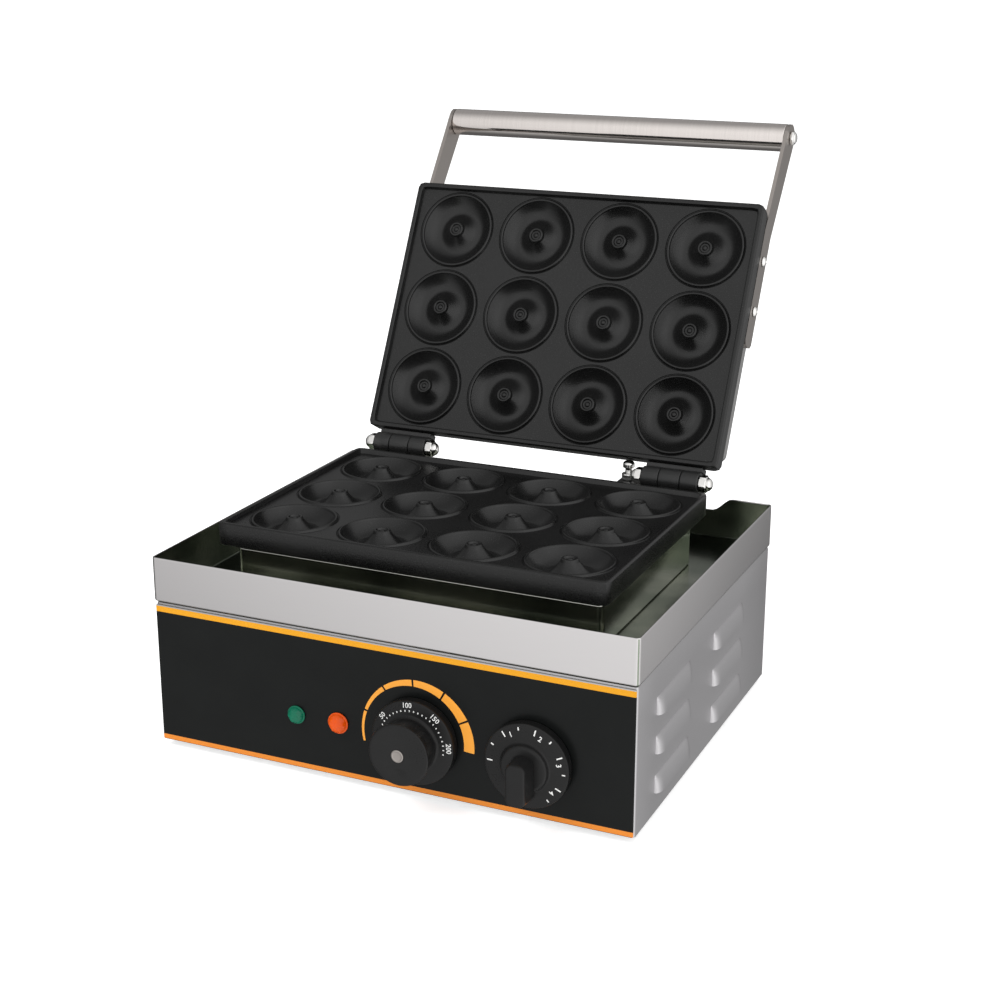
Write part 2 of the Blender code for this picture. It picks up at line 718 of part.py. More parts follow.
def handle():
    pivot = (0, HINGE_Y, HINGE_Z)
    end = COVER_HX
    axis = lambda u, v, w: shut((w, HANDLE_Y + u, HANDLE_Z + v))
    tube = [
        (0.0095, -end), (0.0106, -end), (HANDLE_R, -end + 0.0005), (HANDLE_R, end - 0.0005),
        (0.0106, end), (0.0095, end),
    ]
    revolve(axis, tube, 24).build("handle_tube", POLISHED, pivot)
    outer = end + GAP + ARM_T
    cylinder(axis, 0.0029, -outer - 0.0031, outer + 0.0031, 12).build("handle_tie_rod", CHROME, pivot)
    # Each arm is a flat strip: straight along the cover, then rising to the tube.
    bend_y = COVER_Y0 - 0.004
    rise = math.atan2(HANDLE_Z - ARM_Z, bend_y - HANDLE_Y)
    cos_r = math.cos(rise)
    sin_r = math.sin(rise)
    outline = []
    for i in range(5):
        turn = math.radians(-90 + 180 * i / 4)
        outline.append((ARM_END_Y + ARM_HALF * 0.5 * math.cos(turn), ARM_Z + ARM_HALF * math.sin(turn)))
    outline.append((bend_y - ARM_HALF * math.tan(-rise / 2), ARM_Z + ARM_HALF))
    for i in range(9):
        turn = math.radians(90 + 180 * i / 8) - rise
        outline.append((HANDLE_Y + ARM_HALF * 1.18 * math.cos(turn), HANDLE_Z + ARM_HALF * 1.18 * math.sin(turn)))
    outline.append((bend_y + ARM_HALF * math.tan(-rise / 2), ARM_Z - ARM_HALF))
    for side, name in ((-1, "left"), (1, "right")):
        place = lambda u, v, w, side=side: shut((side * w, u, v))
        solid = Solid(place)
        w0 = COVER_HX + GAP
        w1 = w0 + ARM_T
        holes = [circle(HANDLE_Y, HANDLE_Z, 0.0033, 12)]
        holes += [circle(y, ARM_Z, 0.0024, 8) for y in ARM_SCREWS]
        inner = [(solid.loop(hole, w0), solid.loop(hole, w1)) for hole in holes]
        low = solid.loop(outline, w0)
        high = solid.loop(outline, w1)
        solid.bridge(low, high)
        for first, second in inner:
            solid.bridge(first, second)
        solid.fill(low, [pair[0] for pair in inner])
        solid.fill(high, [pair[1] for pair in inner])
        solid.build("handle_arm_" + name, STEEL, pivot)
        for k, y in enumerate(ARM_SCREWS):
            spot = lambda u, v, w, side=side, y=y: shut((side * w, y + u, ARM_Z + v))
            head = w1 + GAP
            screw = [
                (0, head + 0.0024), (0.0026, head + 0.0020), (0.0042, head), (0.0021, head),
                (0.0021, COVER_HX - 0.006), (0, COVER_HX - 0.0065),
            ]
            label = ("front", "rear")[k]
            revolve(spot, screw, 12).build("arm_screw_%s_%s" % (name, label), CHROME, pivot)
        nut = dome_nut(axis, side, side * (w1 + GAP), 0.0029 + 0.0002, 0.0105, 0.55)
        nut.build("handle_nut_" + name, CHROME, pivot)


def dome_nut(place, side, start, bore, across, squat=1.0):
    """A cap nut whose open end sits at start and whose dome points along side * +w. squat shortens it."""
    solid = Solid(place)
    tall = across * 0.46 * squat
    half = across / 2
    ring = [solid.loop(circle(0, 0, bore, 12), start + side * tall * 1.35)]
    ring.append(solid.loop(circle(0, 0, bore, 12), start))
    ring.append(solid.loop(circle(0, 0, half * 0.98, 12), start))
    ring.append(solid.loop(hexagon(0, 0, across), start + side * 0.0006))
    ring.append(solid.loop(hexagon(0, 0, across), start + side * (tall - 0.0006)))
    ring.append(solid.loop(circle(0, 0, half * 0.96, 12), start + side * tall))
    for radius, rise in ((0.82, 0.04), (0.68, 0.38), (0.34, 0.68)):
        ring.append(solid.loop(circle(0, 0, half * radius, 12), start + side * (tall + half * squat * rise)))
    solid.cap(ring[0])
    solid.skin(ring)
    solid.cap(ring[-1])
    return solid


def hinges():
    pivot = (0, HINGE_Y, HINGE_Z)
    plate_rear = PLATE_Y + PLATE_HY
    low = plate_rear + GAP
    for side, name in ((-1, "left"), (1, "right")):
        middle = side * HINGE_X

        def spread(a, b):
            return sorted((middle + side * a, middle + side * b))

        # Lower leaf: a pad on the lower plate's rear face, a web and the centre knuckle.
        x0, x1 = spread(-0.0228, 0.0228)
        start = STOP_X - 0.0070 if side > 0 else x0
        pad = block(lambda u, v, w: (u, w, v), start, x1, 0.1525, 0.1640, low, low + 0.004, 0.001)
        obj = pad.build("hinge_leaf_lower_" + name, BLACK_IRON)
        k0, k1 = spread(-0.0085, 0.0085)
        parts = [("UNION", "EXACT", cylinder(along_x(HINGE_Y, HINGE_Z), KNUCKLE_R, k0, k1, 18))]
        web = block(lambda u, v, w: (u, v, w), k0 + 0.001, k1 - 0.001, low + 0.002, HINGE_Y + 0.003, 0.1580, 0.1660)
        parts = [(a, b, c.build("part", STEEL)) for a, b, c in parts]
        parts.append(("UNION", "EXACT", web.build("web", STEEL)))
        if side > 0:
            tab = block(None, start + 0.0002, x0 - 0.0006, low + 0.001, STOP_Y + 0.0065, 0.1582, 0.1628, 0.001)
            parts.append(("UNION", "EXACT", tab.build("tab", STEEL)))
            hole = cylinder(lambda u, v, w: (STOP_X + u, STOP_Y + v, w), 0.0031, 0.155, 0.166, 12)
            parts.append(("DIFFERENCE", "EXACT", hole.build("hole", STEEL)))
        bore = cylinder(along_x(HINGE_Y, HINGE_Z), PIN_R + GAP, k0 - 0.003, k1 + 0.003, 12)
        parts.append(("DIFFERENCE", "EXACT", bore.build("bore", STEEL)))
        bake(obj, parts)
        # Upper leaf: a pad on the lid plate's rear face and two outer knuckles.
        swing = lambda u, v, w: shut((u, w, v))
        pad = block(swing, x0, x1, UPPER_Z0 + 0.0030, UPPER_Z0 + UPPER_T - 0.0005, low, low + 0.004, 0.001)
        obj = pad.build("hinge_leaf_upper_" + name, BLACK_IRON, pivot)
        parts = []
        for a, b in ((-0.0228, -0.0088), (0.0088, 0.0228)):
            e0, e1 = spread(a, b)
            turned = lambda u, v, w: shut((w, HINGE_Y + u, HINGE_Z + v))
            knuckle = cylinder(turned, KNUCKLE_R, e0, e1, 18)
            arm = block(
                lambda u, v, w: shut((u, v, w)), e0 + 0.001, e1 - 0.001,
                low + 0.002, HINGE_Y + 0.001, UPPER_Z0 + 0.0035, HINGE_Z + 0.0080,
            )
            parts.append(("UNION", "EXACT", knuckle.build("knuckle", STEEL)))
            parts.append(("UNION", "EXACT", arm.build("arm", STEEL)))
        turned = lambda u, v, w: shut((w, HINGE_Y + u, HINGE_Z + v))
        bore = cylinder(turned, PIN_R + GAP, x0 - 0.003, x1 + 0.003, 12)
        parts.append(("DIFFERENCE", "EXACT", bore.build("bore", STEEL)))
        bake(obj, parts)
        axis = along_x(HINGE_Y, HINGE_Z)
        cylinder(axis, PIN_R, x0 - 0.0075, x1 + 0.0075, 12).build("hinge_pin_" + name, CHROME)
        dome_nut(axis, 1, x1 + GAP, PIN_R + 0.0002, 0.0125).build("hinge_nut_%s_right" % name, CHROME)
        dome_nut(axis, -1, x0 - GAP, PIN_R + 0.0002, 0.0125).build("hinge_nut_%s_left" % name, CHROME)


STOP_X = 0.0775
STOP_Y = 0.118


def lid_stop():
    place = lambda u, v, w: (STOP_X + u, STOP_Y + v, w)
    profile = [
        (0, 0.1500), (0.0024, 0.1503), (0.0028, 0.1508), (0.0028, 0.1724), (0.0046, 0.1728),
        (0.0046, 0.1754), (0.0036, 0.1770), (0.0018, 0.1780), (0, 0.1783),
    ]
    revolve(place, profile, 14).build("lid_stop_screw", CHROME)
    solid = Solid(place)
    z0 = 0.1628 + GAP
    z1 = z0 + 0.0048
    loops = [
        solid.loop(hexagon(0, 0, 0.010), z1), solid.loop(hexagon(0, 0, 0.010), z0),
        solid.loop(circle(0, 0, 0.0031, 12), z0), solid.loop(circle(0, 0, 0.0031, 12), z1),
    ]
    solid.skin(loops)
    solid.bridge(loops[-1], loops[0])
    solid.build("lid_stop_nut", CHROME)


def thermostat():
    axis = outward(THERMO_X, DIAL_Z)
    face = -FASCIA_Y
    knob = [
        (0, 0.014), (0.0033, 0.014), (0.0033, 0.0006), (0.0306, 0.0006), (0.0310, 0.0072),
        (0.0304, 0.0082), (0.0206, 0.0098), (0.0192, 0.0112), (0.0204, 0.0250), (0.0222, 0.0272),
        (0.0226, 0.0286), (0.0220, 0.0298), (0.0205, 0.0304), (0, 0.0309),
    ]
    rise = [(r, face + w) for r, w in knob]
    revolve(axis, rise, 28).build("thermostat_knob", BLACK_PLASTIC, (THERMO_X, FASCIA_Y, DIAL_Z))
    cylinder(axis, 0.0030, 0.1415, face + 0.0135, 12).build(
        "thermostat_shaft", CHROME, (THERMO_X, FASCIA_Y, DIAL_Z)
    )
    back = -BODY_FRONT - SHEET - GAP
    can = [
        (0, 0.1180), (0.0180, 0.1180), (0.0190, 0.1190), (0.0190, back - 0.001), (0.0180, back),
        (0.0033, back), (0.0033, 0.1410), (0, 0.1410),
    ]
    revolve(axis, can, 20).build("thermostat_body", BLACK_PLASTIC)


def timer():
    axis = outward(TIMER_X, DIAL_Z)
    face = -FASCIA_Y
    knob = [
        (0, 0.010), (0.0033, 0.010), (0.0033, 0.0006), (0.0301, 0.0006), (0.0305, 0.0072),
        (0.0299, 0.0082), (0.0182, 0.0096), (0.0172, 0.0104), (0.0166, 0.0130), (0.0156, 0.0142), (0, 0.0146),
    ]
    rise = [(r, face + w) for r, w in knob]
    pivot = (TIMER_X, FASCIA_Y, DIAL_Z)
    obj = revolve(axis, rise, 28).build("timer_knob", BLACK_PLASTIC)
    grip = Solid(axis)
    loops = []
    for grow, depth in ((0.0010, 0.0125), (0.0, 0.0260), (-0.0006, 0.0274), (-0.0020, 0.0282)):
        outline = rounded(-0.0072 - grow, 0.0072 + grow, -0.0215 - grow, 0.0090 + grow, 0.0050 + grow, 3)
        loops.append(grip.loop(outline, face + depth))
    grip.cap(loops[0])
    grip.skin(loops)
    grip.cap(loops[-1])
    made = bake(obj, [("UNION", "EXACT", grip.build("grip", STEEL))])
    made.data.transform(Matrix.Translation(-Vector(pivot)))
    made.location = pivot
    cylinder(axis, 0.0030, 0.1415, face + 0.0095, 12).build("timer_shaft", CHROME, pivot)
    back = -BODY_FRONT - SHEET - GAP
    solid = Solid(axis)
    loops = [
        solid.loop(rounded(-0.021, 0.021, -0.021, 0.021, 0.003), 0.1120),
        solid.loop(rounded(-0.021, 0.021, -0.021, 0.021, 0.003), back),
    ]
    solid.cap(loops[0])
    solid.skin(loops)
    mouth = solid.loop(circle(0, 0, 0.0033, 12), back)
    floor = solid.loop(circle(0, 0, 0.0033, 12), 0.1410)
    solid.bridge(mouth, floor)
    solid.cap(floor)
    solid.fill(loops[1], [mouth])
    solid.build("timer_body", BLACK_PLASTIC)


def lamps():
    face = -FASCIA_Y
    for x, skin, name, wide in (
        (LAMP_GREEN_X, GREEN, "green", 0.0068), (LAMP_ORANGE_X, ORANGE, "orange", 0.0078),
    ):
        axis = outward(x, DIAL_Z)
        lens = [
            (0, 0.1345), (0.0056, 0.1345), (0.0056, face + GAP), (wide, face + GAP),
            (wide, face + 0.0016), (wide * 0.92, face + 0.0034), (wide * 0.72, face + 0.0050),
            (wide * 0.40, face + 0.0060), (0, face + 0.0064),
        ]
        revolve(axis, lens, 16).build("indicator_lamp_" + name, skin)
        back = -BODY_FRONT - SHEET - GAP
        solid = Solid(axis)
        loops = [
            solid.loop(hexagon(0, 0, 0.016), back), solid.loop(hexagon(0, 0, 0.016), back - 0.004),
            solid.loop(circle(0, 0, 0.0059, 12), back - 0.004), solid.loop(circle(0, 0, 0.0059, 12), back),
        ]
        solid.skin(loops)
        solid.bridge(loops[-1], loops[0])
        solid.build("lamp_nut_" + name, BLACK_PLASTIC)


def gland(name, place, radius, wall0, wall1, pivot=(0, 0, 0)):
    """A cable gland with its bore open, held in a wall between depths wall0 and wall1 along +w."""
    bore = radius * 0.5
    solid = Solid(place)
    w = wall1 + GAP
    rows = [
        (circle(0, 0, bore, 12), wall0 - 0.008), (circle(0, 0, radius, 12), wall0 - 0.008),
        (circle(0, 0, radius, 12), w), (hexagon(0, 0, radius * 2.7), w),
        (hexagon(0, 0, radius * 2.7), w + 0.005), (circle(0, 0, radius * 1.15, 12), w + 0.0055),
        (circle(0, 0, radius * 1.15, 12), w + 0.0100), (circle(0, 0, radius * 0.85, 12), w + 0.0130),
        (circle(0, 0, bore, 12), w + 0.0130),
    ]
    loops = [solid.loop(outline, depth) for outline, depth in rows]
    solid.skin(loops)
    solid.bridge(loops[-1], loops[0])
    solid.build(name, BLACK_PLASTIC, pivot)


def wiring():
    rear = BODY_REAR
    gland("cord_gland", lambda u, v, w: (CORD_X + u, w, CORD_Z + v), 0.0080, rear - SHEET, rear)
    gland("base_lead_gland", lambda u, v, w: (LEAD_X + u, w, LEAD_Z + v), 0.0060, rear - SHEET, rear)
    place = lambda u, v, w: shut((LID_LEAD_X + u, w, LID_LEAD_Z + v))
    gland("lid_lead_gland", place, 0.0048, COVER_Y1 - SHEET, COVER_Y1, (0, HINGE_Y, HINGE_Z))
    z0 = FLANGE_Z
    solid = Solid()
    outline = [(-0.124, 0.078), (-0.076, 0.078), (-0.076, 0.100), (-0.124, 0.100)]
    holes = [circle(-0.115 + 0.010 * i, 0.089, 0.0026, 8) for i in range(4)]
    low = solid.loop(outline, z0)
    high = solid.loop(outline, z0 + 0.016)
    solid.cap(low)
    solid.bridge(low, high)
    mouths = []
    for hole in holes:
        mouth = solid.loop(hole, z0 + 0.016)
        floor = solid.loop(hole, z0 + 0.008)
        solid.bridge(mouth, floor)
        solid.cap(floor)
        mouths.append(mouth)
    solid.fill(high, mouths)
    solid.build("terminal_block", CERAMIC)


base_shell()
front_fascia()
bottom_plate()
feet()
bottom_screws()
tray()
heater_housing()
lower_plate()
upper_plate()
heating()
posts()
lid_cover()
handle()
hinges()
lid_stop()
thermostat()
timer()
lamps()
wiring()
for piece in bpy.data.objects:
    piece.location.y -= DEPTH_MIDDLE
bpy.context.view_layer.update()
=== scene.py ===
"""Looks of a twelve-cup donut maker with its lid open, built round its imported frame. Lengths are in metres."""

import json
import math

import bmesh
import bpy
import numpy as np
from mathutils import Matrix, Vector


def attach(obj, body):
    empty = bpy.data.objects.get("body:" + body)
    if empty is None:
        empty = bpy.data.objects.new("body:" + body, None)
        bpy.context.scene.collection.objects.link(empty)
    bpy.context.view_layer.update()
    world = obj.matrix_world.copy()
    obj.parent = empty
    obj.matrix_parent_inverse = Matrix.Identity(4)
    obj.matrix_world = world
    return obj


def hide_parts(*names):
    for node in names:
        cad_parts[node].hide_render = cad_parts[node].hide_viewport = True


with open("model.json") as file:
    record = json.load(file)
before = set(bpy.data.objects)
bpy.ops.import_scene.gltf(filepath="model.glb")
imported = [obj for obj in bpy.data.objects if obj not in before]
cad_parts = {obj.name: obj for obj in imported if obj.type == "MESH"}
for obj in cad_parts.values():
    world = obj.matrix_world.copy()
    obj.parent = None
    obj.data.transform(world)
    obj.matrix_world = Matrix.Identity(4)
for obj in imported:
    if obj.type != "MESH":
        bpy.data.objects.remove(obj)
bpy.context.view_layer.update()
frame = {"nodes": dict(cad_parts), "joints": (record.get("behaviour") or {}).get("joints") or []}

bl_info = {
    "name": "Donut maker looks",
    "version": (1, 0, 0),
    "blender": (4, 5, 0),
    "location": "View3D > Sidebar > Donut maker",
    "description": "Builds the visible surfaces of a twelve-cup donut maker round its frame",
    "category": "Object",
}

JOINTS = {joint["name"]: joint for joint in frame["joints"]}
HINGE = np.array(JOINTS["lid_hinge"]["pos_m"], float)
OPEN = math.radians(JOINTS["lid_hinge"]["range_deg"][1])
THERMOSTAT = np.array(JOINTS["thermostat_turn"]["pos_m"], float)
TIMER = np.array(JOINTS["timer_turn"]["pos_m"], float)
GAP = 0.0003
SHEET = 0.001
HOOD_ROWS = 10
KNUCKLE_RADIUS = 0.0085
MIDDLE_KNUCKLE = 0.0085
NOTCH_HALF = 0.153
NOTCH_EASE = 0.016
NOTCH_DROP = 0.0105


# Places taken from the frame

def corners(node):
    """Every vertex of a CAD node, as rows of x, y and z."""
    mesh = frame["nodes"][node].data
    spots = np.empty(len(mesh.vertices) * 3, np.float32)
    mesh.vertices.foreach_get("co", spots)
    return spots.reshape(-1, 3).astype(float)


def lid_turn(spots, angle):
    """Points turned about the hinge: y and z rotate by the angle round the hinge's own y and z."""
    spots = np.asarray(spots, float)
    dy = spots[..., 1] - HINGE[1]
    dz = spots[..., 2] - HINGE[2]
    y = HINGE[1] + dy * math.cos(angle) - dz * math.sin(angle)
    z = HINGE[2] + dy * math.sin(angle) + dz * math.cos(angle)
    return np.stack([spots[..., 0], y, z], axis=-1)


def opened(spots):
    """Points given with the lid shut, moved to where the open lid holds them."""
    return lid_turn(spots, -OPEN)


def box(node):
    """Lowest and highest corner of a CAD node."""
    spots = corners(node)
    return spots.min(0), spots.max(0)


def shut_box(node):
    """Lowest and highest corner of a lid's node, with the lid turned shut."""
    spots = lid_turn(corners(node), OPEN)
    return spots.min(0), spots.max(0)


# Surfaces

def eased(points, radius, steps=4):
    """A broken line with round corners: each corner is swapped for the parabola between the two
    points that lie radius away from it along its sides."""
    points = np.asarray(points, float)
    corner = points[1:-1]
    back = points[:-2] - corner
    ahead = points[2:] - corner
    back_reach = np.minimum(radius / np.linalg.norm(back, axis=1, keepdims=True), 0.45)
    ahead_reach = np.minimum(radius / np.linalg.norm(ahead, axis=1, keepdims=True), 0.45)
    start = corner + back * back_reach
    end = corner + ahead * ahead_reach
    t = np.linspace(0, 1, steps + 1)[:, None, None]
    bend = (1 - t) ** 2 * start + 2 * t * (1 - t) * corner + t ** 2 * end
    bend = np.swapaxes(bend, 0, 1).reshape(-1, points.shape[1])
    return np.vstack([points[:1], bend, points[-1:]])


def turned(profile, steps=64):
    """A turned shape: each (r, w) of the profile goes round the w axis as (r cos a, r sin a, w)."""
    profile = np.asarray(profile, float)
    angle = np.linspace(0, 2 * math.pi, steps, endpoint=False)
    r = profile[:, :1]
    w = np.repeat(profile[:, 1:], steps, axis=1)
    return np.stack([r * np.cos(angle), r * np.sin(angle), w], axis=-1)


def hexagon(angle, across):
    """Distance from centre to side of a hexagon at an angle: half its width over across flats,
    divided by the cosine of the angle from the middle of the nearest side."""
    off = np.mod(angle, math.pi / 3) - math.pi / 6
    return across / 2 / np.cos(off)


def nut(profile, across, steps=72):
    """A nut's skin: the hexagon, cut down to the turned profile wherever that is narrower."""
    profile = np.asarray(profile, float)
    angle = np.linspace(0, 2 * math.pi, steps, endpoint=False)
    r = np.minimum(profile[:, :1], hexagon(angle, across)[None, :])
    w = np.repeat(profile[:, 1:], steps, axis=1)
    return np.stack([r * np.cos(angle), r * np.sin(angle), w], axis=-1)


def rounded(half_x, half_y, radius, steps=6):
    """Outlines of rectangles with round corners, one for each set of sizes: quarter circles of the
    radius round the four corner centres, joined by straight sides."""
    half_x, half_y, radius = (np.atleast_1d(v).astype(float)[:, None] for v in
                              np.broadcast_arrays(half_x, half_y, radius))
    quarter = np.linspace(0, math.pi / 2, steps)
    angle = np.concatenate([quarter + k * math.pi / 2 for k in range(4)])
    side_x = np.repeat([1, -1, -1, 1], steps)
    side_y = np.repeat([1, 1, -1, -1], steps)
    x = side_x * (half_x - radius) + radius * np.cos(angle)
    y = side_y * (half_y - radius) + radius * np.sin(angle)
    return np.stack([x, y], axis=-1)


def walled(half_x, half_y, radius, profile, steps=6):
    """A profile of (inset, height) carried round a rectangle with round corners; the corner radius
    shrinks with the inset."""
    profile = np.asarray(profile, float)
    inset = profile[:, 0]
    outline = rounded(half_x - inset, half_y - inset, np.maximum(radius - inset, radius * 0.12), steps)
    height = np.repeat(profile[:, 1][:, None], outline.shape[1], axis=1)[..., None]
    return np.concatenate([outline, height], axis=-1)


def slab(low, high, radius, edge):
    """A box with round upright corners and eased edges, between two corners."""
    low = np.asarray(low, float)
    high = np.asarray(high, float)
    middle = (low + high) / 2
    half = (high - low) / 2
    reach = half.min() * 0.6
    profile = eased([(reach, -half[2]), (0, -half[2]), (0, half[2]), (reach, half[2])], edge, 3)
    return walled(half[0], half[1], radius, profile, 4) + middle


def quads(rows, columns, around, along):
    """Corner numbers of the squares between neighbouring grid points; around joins the last column
    to the first, and along joins the last row to the first."""
    row, column = np.meshgrid(
        np.arange(rows if along else rows - 1), np.arange(columns if around else columns - 1), indexing="ij"
    )
    next_row = (row + 1) % rows
    next_column = (column + 1) % columns
    square = [row * columns + column, row * columns + next_column,
              next_row * columns + next_column, next_row * columns + column]
    return np.stack(square, axis=-1).reshape(-1, 4)


class Skin:
    """Grids of points gathered into one mesh."""

    def __init__(self):
        self.points = []
        self.faces = []
        self.marks = []
        self.count = 0

    def grid(self, spots, around=True, along=False, ends=(True, True), mark=None):
        """Adds a grid. ends closes the first and the last row with flat faces."""
        rows, columns = spots.shape[:2]
        squares = quads(rows, columns, around, along) + self.count
        self.faces += squares.tolist()
        if around and not along:
            if ends[0]:
                self.faces.append((np.arange(columns)[::-1] + self.count).tolist())
            if ends[1]:
                self.faces.append((np.arange(columns) + (rows - 1) * columns + self.count).tolist())
        self.points.append(spots.reshape(-1, 3))
        self.marks.append(np.zeros(rows * columns) if mark is None else np.asarray(mark, float).reshape(-1))
        self.count += rows * columns
        return self

    def cells(self, spots):
        """Adds many grids of the same size at once, each with its columns closed into a ring."""
        cells, rows, columns = spots.shape[:3]
        squares = quads(rows, columns, True, False)
        starts = np.arange(cells)[:, None, None] * rows * columns
        self.faces += (squares[None] + starts + self.count).reshape(-1, 4).tolist()
        self.points.append(spots.reshape(-1, 3))
        self.marks.append(np.zeros(cells * rows * columns))
        self.count += cells * rows * columns
        return self

    def build(self, name, look, body, slot, replaced=(), sharp=35, place=None):
        """Makes the object, welds its seams and poles, turns its faces outwards and hands it to its body."""
        spots = np.concatenate(self.points)
        if place is not None:
            spots = place(spots)
        mesh = bpy.data.meshes.new(name)
        mesh.from_pydata(spots.tolist(), [], self.faces)
        # The marks are stored as a point attribute, which the shell's finish reads to paint shade inside its
        # vents.
        mark = mesh.attributes.new("hollow", "FLOAT", "POINT")
        mark.data.foreach_set("value", np.concatenate(self.marks))
        welded = bmesh.new()
        welded.from_mesh(mesh)
        bmesh.ops.remove_doubles(welded, verts=welded.verts, dist=2e-6)
        bmesh.ops.dissolve_degenerate(welded, edges=welded.edges, dist=1e-7)
        bmesh.ops.recalc_face_normals(welded, faces=welded.faces)
        welded.to_mesh(mesh)
        welded.free()
        mesh.shade_smooth()
        mesh.set_sharp_from_angle(angle=math.radians(sharp))
        mesh.materials.append(look)
        made = bpy.data.objects.new(name, mesh)
        bpy.context.scene.collection.objects.link(made)
        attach(made, body)
        if replaced:
            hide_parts(*replaced)
        return made


def facing(centre):
    """Places a shape drawn in (u, v, w) on the front: u to the right, v up, w out towards the user."""
    return lambda spots: spots[:, [0, 2, 1]] * [1, -1, 1] + np.asarray(centre, float)


def across(centre):
    """Places a shape drawn in (u, v, w) with its w axis along x."""
    return lambda spots: spots[:, [2, 0, 1]] + np.asarray(centre, float)


def upright(centre):
    """Places a shape drawn in (u, v, w) with its w axis up."""
    return lambda spots: spots + np.asarray(centre, float)


def on_lid(place):
    """The same placing, but carried to the open lid."""
    return lambda spots: opened(place(spots))


# Shader maths

class Value:
    """A socket that takes part in arithmetic: each operator adds the node that works it out."""

    def __init__(self, paint, socket):
        self.paint = paint
        self.socket = socket

    def math(self, operation, *others):
        return self.paint.node("ShaderNodeMath", {"operation": operation}, [self, *others])

    def __add__(self, other):
        return self.math("ADD", other)

    def __sub__(self, other):
        return self.math("SUBTRACT", other)

    def __rsub__(self, other):
        return self.paint.node("ShaderNodeMath", {"operation": "SUBTRACT"}, [other, self])

    def __mul__(self, other):
        return self.math("MULTIPLY", other)

    def __truediv__(self, other):
        return self.math("DIVIDE", other)

    def __rtruediv__(self, other):
        return self.paint.node("ShaderNodeMath", {"operation": "DIVIDE"}, [other, self])

    def __gt__(self, other):
        return self.math("GREATER_THAN", other)

    def __lt__(self, other):
        return self.math("LESS_THAN", other)

    def __abs__(self):
        return self.math("ABSOLUTE")

    __radd__ = __add__
    __rmul__ = __mul__

    def between(self, low, high):
        """1 where the value lies between low and high, and 0 elsewhere."""
        return (self > low) * (self < high)

    def ramp(self, low, high, bottom=0.0, top=1.0):
        """The value's place between low and high, eased and held at both ends, from bottom to top."""
        settings = {"interpolation_type": "SMOOTHSTEP"}
        return self.paint.node("ShaderNodeMapRange", settings, [self, low, high, bottom, top])


class Graph:
    """A node tree being written round one main node."""

    def __init__(self, tree, shader):
        self.tree = tree
        self.shader = tree.nodes[shader]

    def set(self, socket, value):
        """Gives a socket of the main node a constant or a worked-out value."""
        if isinstance(value, Value):
            self.tree.links.new(value.socket, self.shader.inputs[socket])
        else:
            self.shader.inputs[socket].default_value = value

    def node(self, kind, settings=None, inputs=(), output=0):
        """Adds a node: its settings first, then the values or links of its sockets by place or name."""
        made = self.tree.nodes.new(kind)
        for key, value in (settings or {}).items():
            if key == "stops":
                for stop, (place, shade) in zip(made.color_ramp.elements, value):
                    stop.position = place
                    stop.color = shade
            else:
                setattr(made, key, value)
        pairs = inputs.items() if isinstance(inputs, dict) else enumerate(inputs)
        for key, value in pairs:
            if isinstance(value, Value):
                self.tree.links.new(value.socket, made.inputs[key])
            elif value is not None:
                made.inputs[key].default_value = value
        return Value(self, made.outputs[output])

    def place(self):
        """Object coordinates."""
        return self.node("ShaderNodeTexCoord", output=3)

    def axes(self):
        """x, y and z of the Object coordinates."""
        split = self.node("ShaderNodeSeparateXYZ", inputs=[self.place()])
        return [Value(self, split.socket.node.outputs[k]) for k in range(3)]

    def noise(self, scale, detail=3.0, stretch=None, roughness=0.5):
        """Noise on Object coordinates, after each axis is multiplied by its stretch."""
        spot = self.place()
        if stretch:
            spot = self.node("ShaderNodeVectorMath", {"operation": "MULTIPLY"}, [spot, stretch])
        inputs = {"Vector": spot, "Scale": scale, "Detail": detail, "Roughness": roughness}
        return self.node("ShaderNodeTexNoise", {}, inputs)

    def mix(self, factor, first, second):
        """The first colour where the factor is 0 and the second where it is 1."""
        made = self.node("ShaderNodeMix", {"data_type": "RGBA"}, {0: factor, 6: first, 7: second}, output=2)
        return made


class Paint(Graph):
    """A material being written round a Principled BSDF."""

    def __init__(self, name, colour, roughness, metallic=0.0, coat=0.0, **others):
        self.material = bpy.data.materials.new(name)
        self.material.use_nodes = True
        super().__init__(self.material.node_tree, "Principled BSDF")
        self.material.diffuse_color = rgb(*colour)
        self.set("Base Color", rgb(*colour))
        self.set("Roughness", roughness)
        self.set("Metallic", metallic)
        self.set("Coat Weight", coat)
        for socket, value in others.items():
            self.set(socket.replace("_", " "), value)

    def bump(self, height, strength, distance):
        """Feeds the shader's normal from a height."""
        inputs = {"Strength": strength, "Distance": distance, "Height": height}
        self.set("Normal", self.node("ShaderNodeBump", {}, inputs))


def rgb(red, green, blue):
    return (red, green, blue, 1.0)


# Finishes

def brushed(name, colour, roughness, grain=(18.0, 18.0, 900.0), bite=0.09, tint=0.05):
    """Brushed sheet: fine streaks along the sheet, and slow patches of slightly different polish."""
    paint = Paint(name, colour, roughness, 1.0)
    streak = paint.noise(1.0, 4.0, grain, 0.6)
    patch = paint.noise(7.0, 2.0)
    paint.set("Roughness", roughness + (streak - 0.5) * bite + (patch - 0.5) * 0.06)
    shade = (streak - 0.5) * tint + (patch - 0.5) * 0.05
    dark = tuple(c * 0.82 for c in colour)
    light = tuple(min(c * 1.14, 1.0) for c in colour)
    paint.set("Base Color", paint.mix(shade + 0.5, rgb(*dark), rgb(*light)))
    paint.bump(streak, 0.10, 0.0001)
    return paint


def body_steel():
    """The shell's satin sheet, with painted shade, near black, inside the pressed vents."""
    paint = brushed("body_steel", (0.53, 0.52, 0.53), 0.40)
    hollow = paint.node("ShaderNodeAttribute", {"attribute_name": "hollow"}, output=2)
    plain = Value(paint, paint.shader.inputs["Base Color"].links[0].from_socket)
    # Painted shade: inside each vent's hood the sheet is coloured near black.
    paint.set("Base Color", paint.mix(hollow, plain, rgb(0.02, 0.02, 0.02)))
    return paint.material


